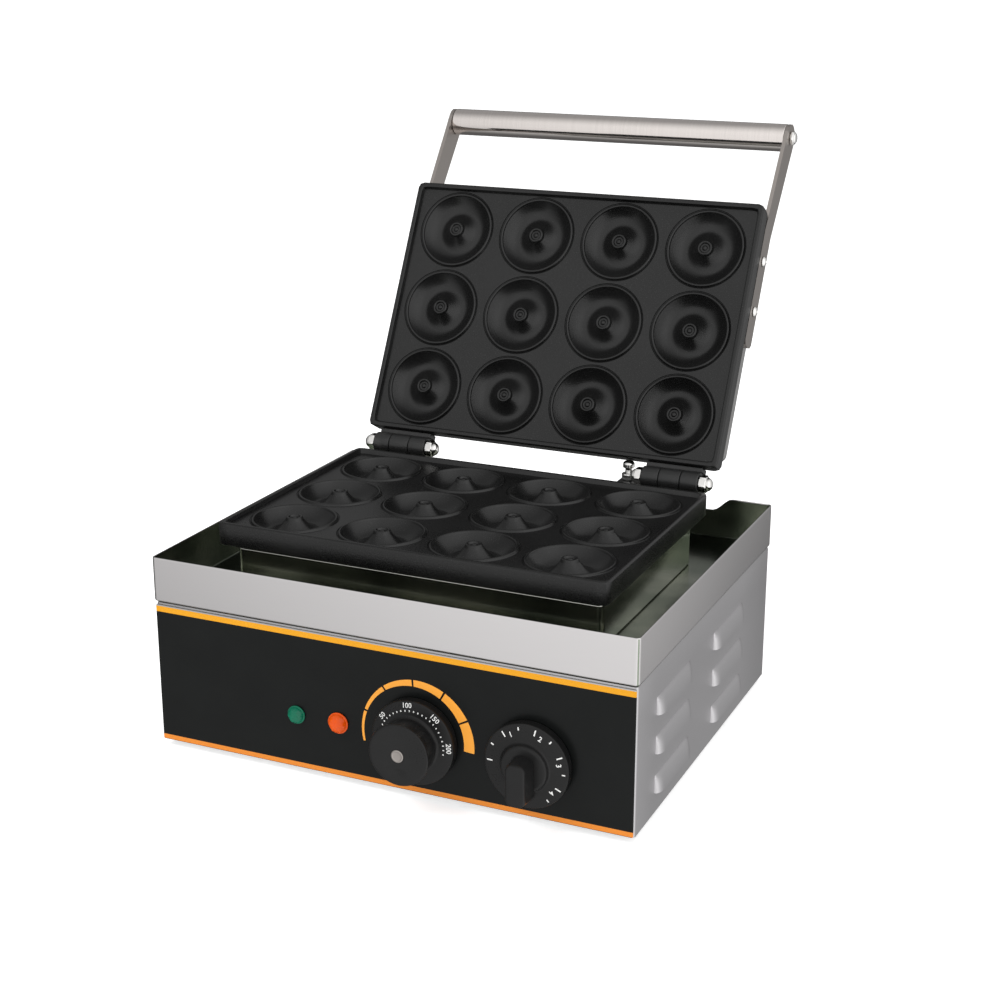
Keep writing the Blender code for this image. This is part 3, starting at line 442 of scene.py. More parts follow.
def tray_steel(middle, half_x, half_y, rim_z):
    """Sheet of the tray: satin outside, mirror-bright inside, where its colour is a darker patchy olive: painted
    reflection and shade.
    """
    paint = brushed("tray_steel", (0.70, 0.68, 0.68), 0.26, (14.0, 14.0, 700.0), 0.05)
    x, y, z = paint.axes()
    inside = (abs(x) < half_x - SHEET * 0.55) * (abs(y - middle) < half_y - SHEET * 0.55) * (z < rim_z - 0.0006)
    plain = Value(paint, paint.shader.inputs["Base Color"].links[0].from_socket)
    # Painted reflection and shade: inside the tray the steel is coloured a patchy dark olive.
    painted_reflection = paint.mix(paint.noise(16.0, 3.0).ramp(0.38, 0.62), rgb(0.24, 0.27, 0.22), rgb(0.52, 0.54, 0.46))
    paint.set("Base Color", paint.mix(inside, plain, painted_reflection))
    paint.set("Roughness", 0.26 - inside * 0.08 + (paint.noise(9.0) - 0.5) * 0.04)
    return paint.material


def cast_coat(name="cast_coat"):
    """Black non-stick coat on a sand casting: fine orange peel, faint cloudiness and tiny pale specks."""
    paint = Paint(name, (0.012, 0.012, 0.012), 0.34, 0.0, Specular_IOR_Level=0.46)
    grain = paint.noise(900.0, 3.0)
    cloud = paint.noise(14.0, 3.0)
    speck = paint.noise(1500.0, 1.0).ramp(0.70, 0.78)
    base = paint.mix(cloud.ramp(0.3, 0.7), rgb(0.003, 0.003, 0.003), rgb(0.006, 0.006, 0.006))
    paint.set("Base Color", paint.mix(speck * 0.35, base, rgb(0.10, 0.10, 0.10)))
    paint.set("Roughness", 0.29 + (grain - 0.5) * 0.14 + (cloud - 0.5) * 0.12)
    paint.bump(grain, 0.28, 0.00025)
    return paint.material


def hinge_iron():
    """Black painted iron casting with a coarser grain."""
    paint = Paint("hinge_iron", (0.014, 0.014, 0.014), 0.36, 0.0, Specular_IOR_Level=0.5)
    grain = paint.noise(520.0, 4.0)
    wear = paint.noise(60.0, 4.0).ramp(0.60, 0.72)
    paint.set("Base Color", paint.mix(wear * 0.5, rgb(0.012, 0.012, 0.012), rgb(0.045, 0.043, 0.041)))
    paint.set("Roughness", 0.36 + (grain - 0.5) * 0.22)
    paint.bump(grain, 0.4, 0.0005)
    return paint.material


def phenolic():
    """Moulded black phenolic with a soft gloss and a faint grain."""
    paint = Paint("phenolic", (0.010, 0.010, 0.010), 0.34, 0.0, Specular_IOR_Level=0.22)
    grain = paint.noise(700.0, 2.0)
    cloud = paint.noise(40.0, 3.0)
    paint.set("Base Color", paint.mix(cloud, rgb(0.007, 0.007, 0.007), rgb(0.013, 0.013, 0.013)))
    paint.set("Roughness", 0.30 + (grain - 0.5) * 0.10 + (cloud - 0.5) * 0.10)
    paint.bump(grain, 0.10, 0.0002)
    return paint.material


def plated():
    """Bright plated hardware with a little haze."""
    paint = Paint("plated", (0.80, 0.79, 0.77), 0.10, 1.0)
    haze = paint.noise(120.0, 3.0)
    paint.set("Roughness", 0.07 + haze * 0.10)
    paint.set("Base Color", paint.mix(haze, rgb(0.72, 0.71, 0.69), rgb(0.86, 0.85, 0.83)))
    return paint.material


def polished_steel():
    """Polished stainless sheet: nearly a mirror, with hairlines left by the polishing wheel."""
    paint = Paint("polished_steel", (0.56, 0.56, 0.52), 0.12, 1.0)
    hair = paint.noise(1.0, 4.0, (30.0, 30.0, 1400.0), 0.6)
    patch = paint.noise(20.0, 3.0)
    paint.set("Roughness", 0.14 + (hair - 0.5) * 0.06 + (patch - 0.5) * 0.06)
    paint.set("Base Color", paint.mix(patch, rgb(0.50, 0.50, 0.46), rgb(0.62, 0.62, 0.58)))
    paint.bump(hair, 0.02, 0.0001)
    return paint.material


def tube_steel():
    """The handle's polished tube, with faint rings of draw marks."""
    paint = Paint("tube_steel", (0.74, 0.69, 0.66), 0.10, 1.0)
    ring = paint.noise(1.0, 3.0, (900.0, 12.0, 12.0), 0.5)
    paint.set("Roughness", 0.11 + (ring - 0.5) * 0.06)
    paint.set("Base Color", paint.mix(ring, rgb(0.71, 0.66, 0.63), rgb(0.80, 0.75, 0.72)))
    return paint.material


def lens(name, deep, bright):
    """Moulded lamp lens: deep colour, paler where its surface turns edge-on to the view, a painted sheen, with a
    faint painted glow, under a clear gloss.
    """
    paint = Paint(name, deep, 0.18, 0.0, Specular_IOR_Level=0.3)
    # Painted sheen: the colour turns paler where the surface turns edge-on to the view.
    painted_edge_sheen = paint.node("ShaderNodeLayerWeight", {}, {"Blend": 0.45}, output=1)
    cloud = paint.noise(260.0, 2.0)
    paint.set("Base Color", paint.mix(painted_edge_sheen * 0.35 + cloud * 0.25, rgb(*deep), rgb(*bright)))
    paint.set("Roughness", 0.16 + cloud * 0.10)
    # Painted glow: the lens is not lit, and a little emission in its own colour stands in for light passing
    # through it.
    paint.set("Emission Color", rgb(*deep))
    paint.set("Emission Strength", 0.06)
    return paint.material


def print_white():
    """White printing ink."""
    paint = Paint("print_white", (0.78, 0.78, 0.76), 0.55)
    fade = paint.noise(500.0, 3.0)
    paint.set("Base Color", paint.mix(fade, rgb(0.66, 0.66, 0.65), rgb(0.84, 0.84, 0.82)))
    return paint.material


def foot_rubber():
    paint = Paint("foot_rubber", (0.02, 0.02, 0.02), 0.8)
    grain = paint.noise(600.0, 4.0)
    paint.set("Base Color", paint.mix(grain, rgb(0.016, 0.016, 0.016), rgb(0.035, 0.035, 0.034)))
    paint.bump(grain, 0.3, 0.0004)
    return paint.material


def steatite():
    paint = Paint("steatite", (0.78, 0.76, 0.70), 0.5)
    grain = paint.noise(400.0, 4.0)
    paint.set("Base Color", paint.mix(grain, rgb(0.72, 0.70, 0.64), rgb(0.82, 0.80, 0.75)))
    paint.bump(grain, 0.2, 0.0003)
    return paint.material


def heater_sheath():
    paint = Paint("heater_sheath", (0.15, 0.14, 0.13), 0.5, 0.8)
    scale = paint.noise(90.0, 5.0)
    paint.set("Base Color", paint.mix(scale, rgb(0.08, 0.075, 0.07), rgb(0.24, 0.21, 0.19)))
    paint.set("Roughness", 0.35 + scale * 0.4)
    return paint.material


def fascia_print(settings, low, high):
    """Black enamelled panel with an orange line along its top and foot, and the six-part heat arc
    round the thermostat, which grows wider clockwise."""
    paint = Paint("fascia_print", (0.005, 0.005, 0.005), 0.26, 0.0, Specular_IOR_Level=0.14)
    x, _, z = paint.axes()
    top = z.between(high[2] - settings.line_top - settings.line_drop, high[2] - settings.line_drop)
    foot = z.between(low[2] + 0.0004, low[2] + 0.0004 + settings.line_foot)
    steel = (z > high[2] - settings.line_drop)
    u = x - THERMOSTAT[0]
    v = z - THERMOSTAT[2]
    clockwise = u.math("ARCTAN2", v) * (180 / math.pi)
    reach = (u * u + v * v).math("SQRT")
    along = (clockwise - settings.arc_start) / settings.arc_span
    wide = along.ramp(-0.05, 1.05, 0.0016, 0.0078)
    ring = (reach < settings.arc_radius) * (reach > settings.arc_radius - wide)
    upper = along.between(0.0, 1.0)
    gap = abs((along * 6.0).math("FRACT") - 0.5) < 0.470
    arc = ring * upper * gap
    orange = rgb(*settings.orange)
    haze = paint.noise(30.0, 3.0)
    base = paint.mix(haze, rgb(0.004, 0.0045, 0.0045), rgb(0.007, 0.0078, 0.0075))
    warm = paint.mix(foot, orange, rgb(*settings.foot_orange))
    inked = paint.mix(top + foot, base, warm)
    inked = paint.mix(arc, inked, rgb(*settings.arc_orange))
    paint.set("Base Color", paint.mix(steel, inked, rgb(0.55, 0.54, 0.53)))
    paint.set("Metallic", steel * 1.0)
    paint.set("Roughness", 0.30 + (haze - 0.5) * 0.08)
    return paint.material


# Pieces

LOOKS = {}


def look(name):
    """A finish by name, made the first time it is asked for."""
    makers = {
        "body_steel": body_steel, "cast_coat": cast_coat, "hinge_iron": hinge_iron, "phenolic": phenolic,
        "plated": plated, "polished_steel": polished_steel, "tube_steel": tube_steel,
        "print_white": print_white, "foot_rubber": foot_rubber, "steatite": steatite,
        "heater_sheath": heater_sheath,
        "arm_steel": lambda: brushed("arm_steel", (0.42, 0.385, 0.36), 0.34, (12.0, 700.0, 12.0)).material,
        "cover_steel": lambda: brushed("cover_steel", (0.60, 0.59, 0.58), 0.32, (14.0, 600.0, 14.0)).material,
        "inner_steel": lambda: brushed("inner_steel", (0.50, 0.50, 0.50), 0.38).material,
        "lens_green": lambda: lens("lens_green", (0.001, 0.105, 0.055), (0.006, 0.17, 0.10)),
        "lens_orange": lambda: lens("lens_orange", (0.60, 0.060, 0.001), (0.70, 0.11, 0.008)),
    }
    if name not in LOOKS:
        LOOKS[name] = makers[name]()
    return LOOKS[name]


def dress(node, material):
    """Gives a CAD node that stays in view its finish."""
    mesh = frame["nodes"][node].data
    mesh.materials.clear()
    mesh.materials.append(material)


def shell_rows(settings, z0, z1):
    """Rows of the shell's profile as (inset, height, share of a louvre's depth, and a mark of 1 on the
    rows inside a hood, whose colour is painted shade): down the outer wall and over the hoods, under the
    foot flange, up the inside and over the top flange. A hood is a quarter ellipse whose share is the
    square root of 1 - t * t, with t falling from 1 to 0. A flat row above each hood and two below it keep
    the wall's own shading flat."""
    rows = [(0.0, z1 - 0.0022, 0.0, 0.0)]
    for mouth in settings.louvre_mouths:
        t = np.linspace(1, 0, HOOD_ROWS)
        rows.append((0.0, mouth + settings.louvre_tall + 0.0005, 0.0, 0.0))
        rows += [(0.0, mouth + settings.louvre_tall * k, math.sqrt(1 - k * k), 0.0) for k in t]
        rows += [(0.0, mouth, 0.80, 0.0), (0.0, mouth + 0.001, 0.78, 1.0), (0.0, mouth + 0.0105, 0.30, 1.0),
                 (0.0, mouth + 0.0105, -0.16, 1.0), (0.0, mouth, -0.16, 1.0),
                 (0.0, mouth - 0.0002, 0.0, 0.0), (0.0, mouth - 0.0010, 0.0, 0.0)]
    rows.append((0.0, z0, 0.0, 0.0))
    inner = [(-SHEET, z0), (-SHEET, z0 + 0.0016), (-0.011, z0 + 0.0016), (-0.011, z0 + 0.0026),
             (-SHEET, z0 + 0.0026), (-SHEET, z1 - 0.0032), (-0.0020, z1 - 0.0017), (-0.014, z1 - SHEET),
             (-0.014, z1), (-0.0030, z1), (-0.0016, z1 - 0.0004), (-0.0004, z1 - 0.0012)]
    return np.array(rows + [(inset, z, 0.0, 0.0) for inset, z in inner])


def shell_path(settings, half_x, y0, y1):
    """The shell's outline seen from above: its four walls with small round corners. The side walls
    have points close together along each louvre. Also returns 1 at each point of a side wall."""
    lean = np.linspace(-1, 1, 29)
    local = np.sign(lean) * (1 - (1 - np.abs(lean)) ** 1.6) * settings.louvre_half
    guard = settings.louvre_half + np.array([0.0030, 0.0006])
    local = np.concatenate([-guard, local, guard[::-1]])
    side_y = (np.array(settings.louvre_centres)[:, None] + local).reshape(-1)
    right = np.stack([np.full(len(side_y), half_x), side_y], -1)
    left = right[::-1] * [-1, 1]
    radius = 0.002
    bend = np.linspace(0, math.pi / 2, 5)

    def corner(cx, cy, start):
        return np.stack([cx + radius * np.cos(start + bend), cy + radius * np.sin(start + bend)], -1)

    x = half_x - radius
    path = [corner(x, y0 + radius, -math.pi / 2), right, corner(x, y1 - radius, 0),
            corner(-x, y1 - radius, math.pi / 2), left, corner(-x, y0 + radius, math.pi)]
    on_side = [np.full(len(stretch), float(k in (1, 4))) for k, stretch in enumerate(path)]
    return np.concatenate(path), np.concatenate(on_side)


def shell_grid(settings):
    """The base shell as one skin: its profile's rows carried round its outline. On the side walls the
    rows swell into louvres, and each louvre's ends fade as a quarter ellipse."""
    low, high = box("base_shell")
    half_x = high[0] - settings.louvre_out
    y0, y1 = low[1], high[1]
    inset, height, share, hollow = shell_rows(settings, low[2], high[2]).T
    path, on_side = shell_path(settings, half_x, y0, y1)
    middle = np.array([0.0, (y0 + y1) / 2])
    half = np.array([half_x, (y1 - y0) / 2])
    spots = (path - middle)[None] * (1 + inset[:, None, None] / half) + middle
    off = np.abs(path[:, 1][:, None] - np.array(settings.louvre_centres)).min(axis=1)
    end = np.clip((off - (settings.louvre_half - settings.louvre_end)) / settings.louvre_end, 0, 1)
    fade = np.sqrt(1 - end ** 2) * on_side
    x = spots[..., 0] + np.sign(spots[..., 0]) * share[:, None] * fade * settings.louvre_out
    # Away from a hood, the rows inside it close up to a line at its mouth.
    mouths = np.array(settings.louvre_mouths)
    mouth = mouths[np.abs(height[:, None] - mouths - 0.005).argmin(axis=1)][:, None]
    z = mouth + (height[:, None] - mouth) * np.where(hollow[:, None] > 0, fade, 1.0)
    # The mark of the rows inside the hoods, faded towards the louvre ends, is where the vents get painted shade.
    return np.stack([x, spots[..., 1], z], -1), hollow[:, None] * fade


def round_off(spots, half_x, half_y, radius):
    """Points of a rectangle's outline that lie beyond a round corner, pulled back to its arc."""
    limit = np.stack(np.broadcast_arrays(half_x - radius, half_y - radius, spots[..., 0])[:2], -1)
    core = np.clip(spots, -limit, limit)
    away = spots - core
    length = np.linalg.norm(away, axis=-1, keepdims=True)
    beyond = (np.abs(away) > 1e-12).all(-1, keepdims=True)
    reach = np.asarray(radius)[..., None] / np.maximum(length, 1e-12)
    return core + away * np.where(beyond, np.minimum(1.0, reach), 1.0)


def mould_points(settings, half_x, half_y, thickness):
    """A cast mould plate in its own (u, v, w), with w out of the face and 0 at the rim. Returns the
    rings of the twelve cups with their squares of field, and the rim with the sides."""
    n = settings.cup_steps
    recess = settings.recess
    inner_x = half_x - settings.rim - 0.001
    inner_y = half_y - settings.rim - 0.001
    pitch_x, pitch_y = settings.pitch
    edges_x = np.array([-inner_x, -pitch_x, 0, pitch_x, inner_x])
    edges_y = np.array([-inner_y, -pitch_y / 2, pitch_y / 2, inner_y])
    centre_x = (np.arange(4) - 1.5) * pitch_x
    centre_y = (np.arange(3) - 1.0) * pitch_y
    corner_radius = settings.corner * 0.6

    step = np.linspace(-1, 1, n, endpoint=False)
    one = np.ones(n)
    square_x = np.concatenate([one, -step, -one, step])
    square_y = np.concatenate([step, one, -step, -one])
    cx, cy = (grid.reshape(-1, 1) for grid in np.meshgrid(centre_x, centre_y, indexing="ij"))
    left, bottom = (grid.reshape(-1, 1) for grid in np.meshgrid(edges_x[:-1], edges_y[:-1], indexing="ij"))
    right, top = (grid.reshape(-1, 1) for grid in np.meshgrid(edges_x[1:], edges_y[1:], indexing="ij"))
    bx = cx + np.where(square_x > 0, square_x * (right - cx), square_x * (cx - left))
    by = cy + np.where(square_y > 0, square_y * (top - cy), square_y * (cy - bottom))
    border = round_off(np.stack([bx, by], -1), inner_x, inner_y, np.full(bx.shape, corner_radius))
    angle = np.linspace(-math.pi / 4, 2 * math.pi - math.pi / 4, 4 * n, endpoint=False)
    profile = cup_profile(settings)
    ring = np.stack([np.cos(angle), np.sin(angle)], -1)
    cups = np.stack([cx, cy], -1)[:, None] + profile[None, :, None, :1] * ring[None, None]
    flat = np.concatenate([border[:, None], cups], axis=1)
    level = np.concatenate([[-recess], profile[:, 1] - recess])
    level = np.broadcast_to(level[None, :, None, None], (*flat.shape[:3], 1))
    cells = np.concatenate([flat, level], axis=-1)

    half_step = np.linspace(0, 1, n // 2, endpoint=False)
    knots_x = np.sort(np.concatenate([edges_x, centre_x]))
    knots_y = np.sort(np.concatenate([edges_y, centre_y]))
    run_x = (knots_x[:-1, None] + np.diff(knots_x)[:, None] * half_step).reshape(-1)
    run_y = (knots_y[:-1, None] + np.diff(knots_y)[:, None] * half_step).reshape(-1)
    side_x = np.full(len(run_y), inner_x)
    side_y = np.full(len(run_x), inner_y)
    loop_x = np.concatenate([side_x, -run_x, -side_x, run_x])
    loop_y = np.concatenate([run_y, side_y, -run_y, -side_y])
    rim = settings.rim
    wall = [(rim + 0.0010, -recess), (rim, -0.0004), (rim - 0.0005, 0.0), (0.0011, 0.0), (0.0, -0.0012),
            (0.0, -thickness + 0.0007), (0.0007, -thickness)]
    wall = eased(wall, 0.0006, 3)
    inset = wall[:, 0][:, None]
    hx = half_x - inset
    hy = half_y - inset
    radius = np.maximum(settings.corner - inset * 0.6, corner_radius) + np.zeros((1, len(loop_x)))
    outline = np.stack([loop_x * hx / inner_x, loop_y * hy / inner_y], -1)
    outline = round_off(outline, hx, hy, radius)
    height = np.broadcast_to(wall[:, 1][:, None, None], (*outline.shape[:2], 1))
    return cells, np.concatenate([outline, height], axis=-1)


def cup_profile(settings):
    """Radius and height of a ring cup from its edge inwards: a raised lip, a channel with steep sides
    and a round bottom, whose height is 1 minus the distance from its middle to the power 1.7, and a low
    centre post with a collar and a small pip. A fine groove runs round the lip."""
    lip = settings.cup_radius
    outer = lip - 0.0020
    post = 0.0068
    share = np.cos(np.linspace(0, math.pi, 24))
    middle = (outer + post) / 2
    reach = (outer - post) / 2
    channel = np.stack([middle + reach * share,
                        -0.0004 - (settings.cup_depth - 0.0004) * (1 - np.abs(share) ** 1.7)], -1)
    round_lip = np.linspace(0, math.pi, 9)
    edge = np.concatenate([
        eased([(lip + 0.0021, 0.0), (lip + 0.0017, -0.0006), (lip + 0.0010, -0.0006)], 0.0003, 3)[:-1],
        np.stack([lip - 0.0004 + 0.0012 * np.cos(round_lip), 0.0014 * np.sin(round_lip)], -1),
    ])
    top = eased([(0.0066, 0.0), (0.0060, 0.0016), (0.0055, 0.0022), (0.0044, 0.0022), (0.0036, 0.0006),
                 (0.0022, 0.0006), (0.0014, 0.0017), (0.0, 0.0020)], 0.0003, 3)
    return np.concatenate([edge, channel, top])


class MouldSettings(bpy.types.PropertyGroup):
    pitch: bpy.props.FloatVectorProperty(
        name="Cup pitch", description="Distance between cup centres along x and along y", size=2,
        default=(0.072, 0.0675), unit="LENGTH")
    cup_radius: bpy.props.FloatProperty(
        name="Cup radius", description="Radius of a cup's raised lip", default=0.0308, unit="LENGTH")
    cup_depth: bpy.props.FloatProperty(
        name="Cup depth", description="Depth of the ring channel below the field",
        default=0.0088, unit="LENGTH")
    rim: bpy.props.FloatProperty(
        name="Rim width", description="Flat width of the rim round the plate", default=0.0040, unit="LENGTH")
    recess: bpy.props.FloatProperty(
        name="Recess", description="How far the field lies below the rim", default=0.0035, unit="LENGTH")
    corner: bpy.props.FloatProperty(
        name="Corner radius", description="Radius of the plate's upright corners",
        default=0.0045, unit="LENGTH")
    cup_steps: bpy.props.IntProperty(
        name="Cup steps", description="Points along a quarter of a cup's circle", default=16)


class ShellSettings(bpy.types.PropertyGroup):
    louvre_out: bpy.props.FloatProperty(
        name="Louvre depth", description="How far a louvre stands out of the side",
        default=0.004, unit="LENGTH")
    louvre_half: bpy.props.FloatProperty(
        name="Louvre half length", description="Half the length of a louvre", default=0.034, unit="LENGTH")
    louvre_end: bpy.props.FloatProperty(
        name="Louvre end", description="Length over which a louvre's end rounds off",
        default=0.008, unit="LENGTH")
    louvre_tall: bpy.props.FloatProperty(
        name="Louvre height", description="Height of a louvre above its mouth", default=0.013, unit="LENGTH")
    louvre_centres: bpy.props.FloatVectorProperty(
        name="Louvre columns", description="Middle of each column of louvres along y", size=2,
        default=(-0.1315, -0.0095), unit="LENGTH")
    louvre_mouths: bpy.props.FloatVectorProperty(
        name="Louvre rows", description="Height of the mouth of each louvre, from the top", size=3,
        default=(0.0775, 0.0490, 0.0200), unit="LENGTH")


class FasciaSettings(bpy.types.PropertyGroup):
    line_top: bpy.props.FloatProperty(
        name="Top line", description="Width of the orange line along the top", default=0.0042, unit="LENGTH")
    line_drop: bpy.props.FloatProperty(
        name="Steel edge", description="Width of the bare edge above the top line",
        default=0.0009, unit="LENGTH")
    line_foot: bpy.props.FloatProperty(
        name="Foot line", description="Width of the orange line along the foot", default=0.0036, unit="LENGTH")
    arc_radius: bpy.props.FloatProperty(
        name="Arc radius", description="Outer radius of the heat arc", default=0.0430, unit="LENGTH")
    arc_start: bpy.props.FloatProperty(
        name="Arc start", description="Where the heat arc starts, in degrees clockwise from the top",
        default=-104.0)
    arc_span: bpy.props.FloatProperty(
        name="Arc span", description="Degrees that the heat arc runs through", default=199.2)
    orange: bpy.props.FloatVectorProperty(
        name="Orange", description="Colour of the printed lines", subtype="COLOR", default=(0.68, 0.30, 0.012))
    foot_orange: bpy.props.FloatVectorProperty(
        name="Foot orange", description="Colour of the line along the foot", subtype="COLOR",
        default=(0.68, 0.22, 0.03))
    arc_orange: bpy.props.FloatVectorProperty(
        name="Arc orange", description="Colour of the heat arc", subtype="COLOR", default=(0.82, 0.34, 0.045))


class StageSettings(bpy.types.PropertyGroup):
    azimuth: bpy.props.FloatProperty(
        name="Azimuth", description="Turn of the camera round the appliance, from the front towards +x",
        default=math.radians(24.41), subtype="ANGLE")
    elevation: bpy.props.FloatProperty(
        name="Elevation", description="Angle of the camera above the horizon",
        default=math.radians(17.85), subtype="ANGLE")
    distance: bpy.props.FloatProperty(
        name="Distance", description="From the camera to the point it looks at", default=1.3185, unit="LENGTH")
    target: bpy.props.FloatVectorProperty(
        name="Target", description="The point that the camera looks at", size=3,
        default=(0.0164, -0.0555, 0.1763), unit="LENGTH")
    lens: bpy.props.FloatProperty(
        name="Lens", description="Focal length on a 36 mm sensor, in millimetres", default=65.15)


def settings():
    """The scene's own sizes and colours."""
    scene = bpy.context.scene
    return scene.donut_mould, scene.donut_shell, scene.donut_fascia, scene.donut_stage


class DONUT_OT_shell(bpy.types.Operator):
    """Build the base shell with its pressed louvres, and dress the plates and boxes inside it"""
    bl_idname = "donut.shell"
    bl_label = "Base shell"

    def execute(self, context):
        spots, mark = shell_grid(settings()[1])
        Skin().grid(spots, along=True, mark=mark).build(
            "shell_skin", look("body_steel"), "base", "brushed_stainless", ("base_shell",), 30)
        for node in ("bottom_plate", "lower_clamp_plate"):
            dress(node, look("inner_steel"))
        for node in ("thermostat_body", "timer_body", "lamp_nut_green", "lamp_nut_orange"):
            dress(node, look("phenolic"))
        dress("terminal_block", look("steatite"))
        dress("lower_heating_element", look("heater_sheath"))
        return {"FINISHED"}


class DONUT_OT_tray(bpy.types.Operator):
    """Build the drip tray with its cut-down rear wall, and the heater housing that stands in it"""
    bl_idname = "donut.tray"
    bl_label = "Tray and housing"

    def execute(self, context):
        low, high = box("top_tray")
        middle = (low + high) / 2
        half = (high - low) / 2
        z0, z1 = low[2], high[2]
        wall = [(0.0030, z0), (0.0, z0), (0.0, z1), (0.0012, z1), (0.0012, z0 + SHEET), (0.0060, z0 + SHEET)]
        wall = eased(wall, 0.0016, 5)
        tray = walled(half[0], half[1], 0.0032, wall, 7) + [middle[0], middle[1], 0]
        opening = rounded(0.110, 0.070, 0.008, 7)[0]
        housing_low, housing_high = box("heater_housing")
        hole_y = (housing_low[1] + housing_high[1]) / 2
        rows = [np.concatenate([opening + [0, hole_y], np.full((28, 1), z)], axis=1) for z in (z0 + SHEET, z0)]
        tray = np.concatenate([tray, np.stack(rows)])
        spots = self.with_rear_columns(tray)
        self.sink_rear(spots, z0, z1, high[1])
        Skin().grid(spots, along=True).build(
            "tray_skin", tray_steel(middle[1], half[0], half[1], z1), "base", "polished_stainless",
            ("top_tray",), 30)
        size = (housing_high - housing_low) / 2
        centre = (housing_high + housing_low) / 2
        box_wall = [(0.009, -size[2]), (0.0, -size[2]), (0.0, size[2]), (0.009, size[2]),
                    (0.009, size[2] - SHEET), (SHEET, size[2] - SHEET), (SHEET, -size[2] + SHEET),
                    (0.009, -size[2] + SHEET)]
        profile = eased(box_wall, 0.0011, 4)
        Skin().grid(walled(size[0], size[1], 0.0045, profile, 7) + centre, along=True).build(
            "housing_skin", look("polished_steel"), "base", "polished_stainless", ("heater_housing",), 30)
        for name in ("front_left", "front_right", "rear_left", "rear_right"):
            dress("plate_post_" + name, look("plated"))
        return {"FINISHED"}

    def with_rear_columns(self, tray):
        """The rear wall needs its own columns for its shoulders, so columns are blended along x
        between its two corners."""
        steps = tray.shape[1] // 4
        first = tray[:, steps - 1]
        last = tray[:, steps]
        share = np.concatenate([np.linspace(0, 0.035, 6), np.linspace(0.04, 0.16, 14), np.linspace(0.2, 0.8, 5),
                                np.linspace(0.84, 0.96, 14), np.linspace(0.965, 1, 6)])[1:-1]
        between = first[:, None] * (1 - share)[None, :, None] + last[:, None] * share[None, :, None]
        return np.concatenate([tray[:, :steps], between, tray[:, steps:]], axis=1)

    def sink_rear(self, tray, z0, z1, rear):
        """Lowers the rear wall between its shoulders: its points sink by an eased step, 3tt - 2ttt."""
        t = np.clip((NOTCH_HALF - np.abs(tray[..., 0])) / NOTCH_EASE, 0, 1)
        drop = NOTCH_DROP * t * t * (3 - 2 * t) * (tray[..., 1] > rear - 0.002)
        tray[..., 2] = z0 + (tray[..., 2] - z0) * (1 - drop / (z1 - z0))


class DONUT_OT_moulds(bpy.types.Operator):
    """Build both cast mould plates with their twelve ring cups"""
    bl_idname = "donut.moulds"
    bl_label = "Mould plates"

    def execute(self, context):
        mould = settings()[0]
        low, high = box("lower_mould_plate")
        middle = (low + high) / 2
        half = (high - low) / 2
        cells, wall = mould_points(mould, half[0], half[1], high[2] - low[2])
        Skin().cells(cells).grid(wall, ends=(False, True)).build(
            "lower_mould_skin", look("cast_coat"), "base", "nonstick_casting", ("lower_mould_plate",), 40,
            upright((middle[0], middle[1], high[2])))
        low, high = shut_box("upper_mould_plate")
        middle = (low + high) / 2
        cells, wall = mould_points(mould, half[0], half[1], high[2] - low[2])
        flip = lambda spots: opened(spots * [1, 1, -1] + [middle[0], middle[1], low[2]])
        Skin().cells(cells).grid(wall, ends=(False, True)).build(
            "upper_mould_skin", look("cast_coat"), "lid", "nonstick_casting", ("upper_mould_plate",), 40, flip)
        return {"FINISHED"}


class DONUT_OT_lid(bpy.types.Operator):
    """Build the lid's steel cover, and dress what lies under it"""
    bl_idname = "donut.lid"
    bl_label = "Lid cover"

    def execute(self, context):
        low, high = shut_box("lid_cover")
        middle = (low + high) / 2
        half = (high - low) / 2
        z0, z1 = low[2], high[2]
        outer = eased([(SHEET, z1 - SHEET), (SHEET, z0), (0.0, z0), (0.0, z1), (0.006, z1)], 0.0026, 6)
        rows = np.vstack([[(0.0045, z1 - SHEET)], outer[1:]])
        spots = walled(half[0], half[1], 0.006, rows, 8) + [middle[0], middle[1], 0]
        Skin().grid(spots).build(
            "cover_skin", look("cover_steel"), "lid", "brushed_stainless", ("lid_cover",), 30, opened)
        dress("upper_clamp_plate", look("inner_steel"))
        dress("upper_heating_element", look("heater_sheath"))
        return {"FINISHED"}


class DONUT_OT_handle(bpy.types.Operator):
    """Build the handle's tube, its cap nuts and the screws of its arms"""
    bl_idname = "donut.handle"
    bl_label = "Handle"

    def execute(self, context):
        low, high = shut_box("handle_tube")
        middle = (low + high) / 2
        end = (high[0] - low[0]) / 2
        radius = (high[2] - low[2]) / 2 - 0.00001
        wall = eased([(0.0095, -end + 0.004), (0.0095, -end), (radius, -end), (radius, end), (0.0095, end),
                      (0.0095, end - 0.004)], 0.0009, 4)
        Skin().grid(turned(wall, 96)).build(
            "tube_skin", look("tube_steel"), "lid", "polished_stainless", ("handle_tube",), 30,
            on_lid(across(middle)))
        dress("handle_tie_rod", look("plated"))
        for side, name in ((-1, "left"), (1, "right")):
            dress("handle_arm_" + name, look("arm_steel"))
            node = "handle_nut_" + name
            cap_nut(node, "lid", side, shut_box(node), on_lid)
            for k in ("front", "rear"):
                node = "arm_screw_%s_%s" % (name, k)
                low, high = shut_box(node)
                middle = (low + high) / 2
                head = high[0] if side > 0 else -low[0]
                screw = [(0.0, head - 0.0010), (0.0012, head - 0.0008), (0.0015, head - 0.0001),
                         (0.0026, head - 0.0002), (0.0042, head - 0.0018), (0.0042, head - 0.0024),
                         (0.0021, head - 0.0024), (0.0021, head - 0.0110), (0.0, head - 0.0115)]
                Skin().grid(turned(eased(screw, 0.0004, 3), 40) * [1, 1, side]).build(
                    node + "_skin", look("plated"), "lid", "bright_fastener", (node,), 30,
                    on_lid(across((0.0, middle[1], middle[2]))))
        return {"FINISHED"}


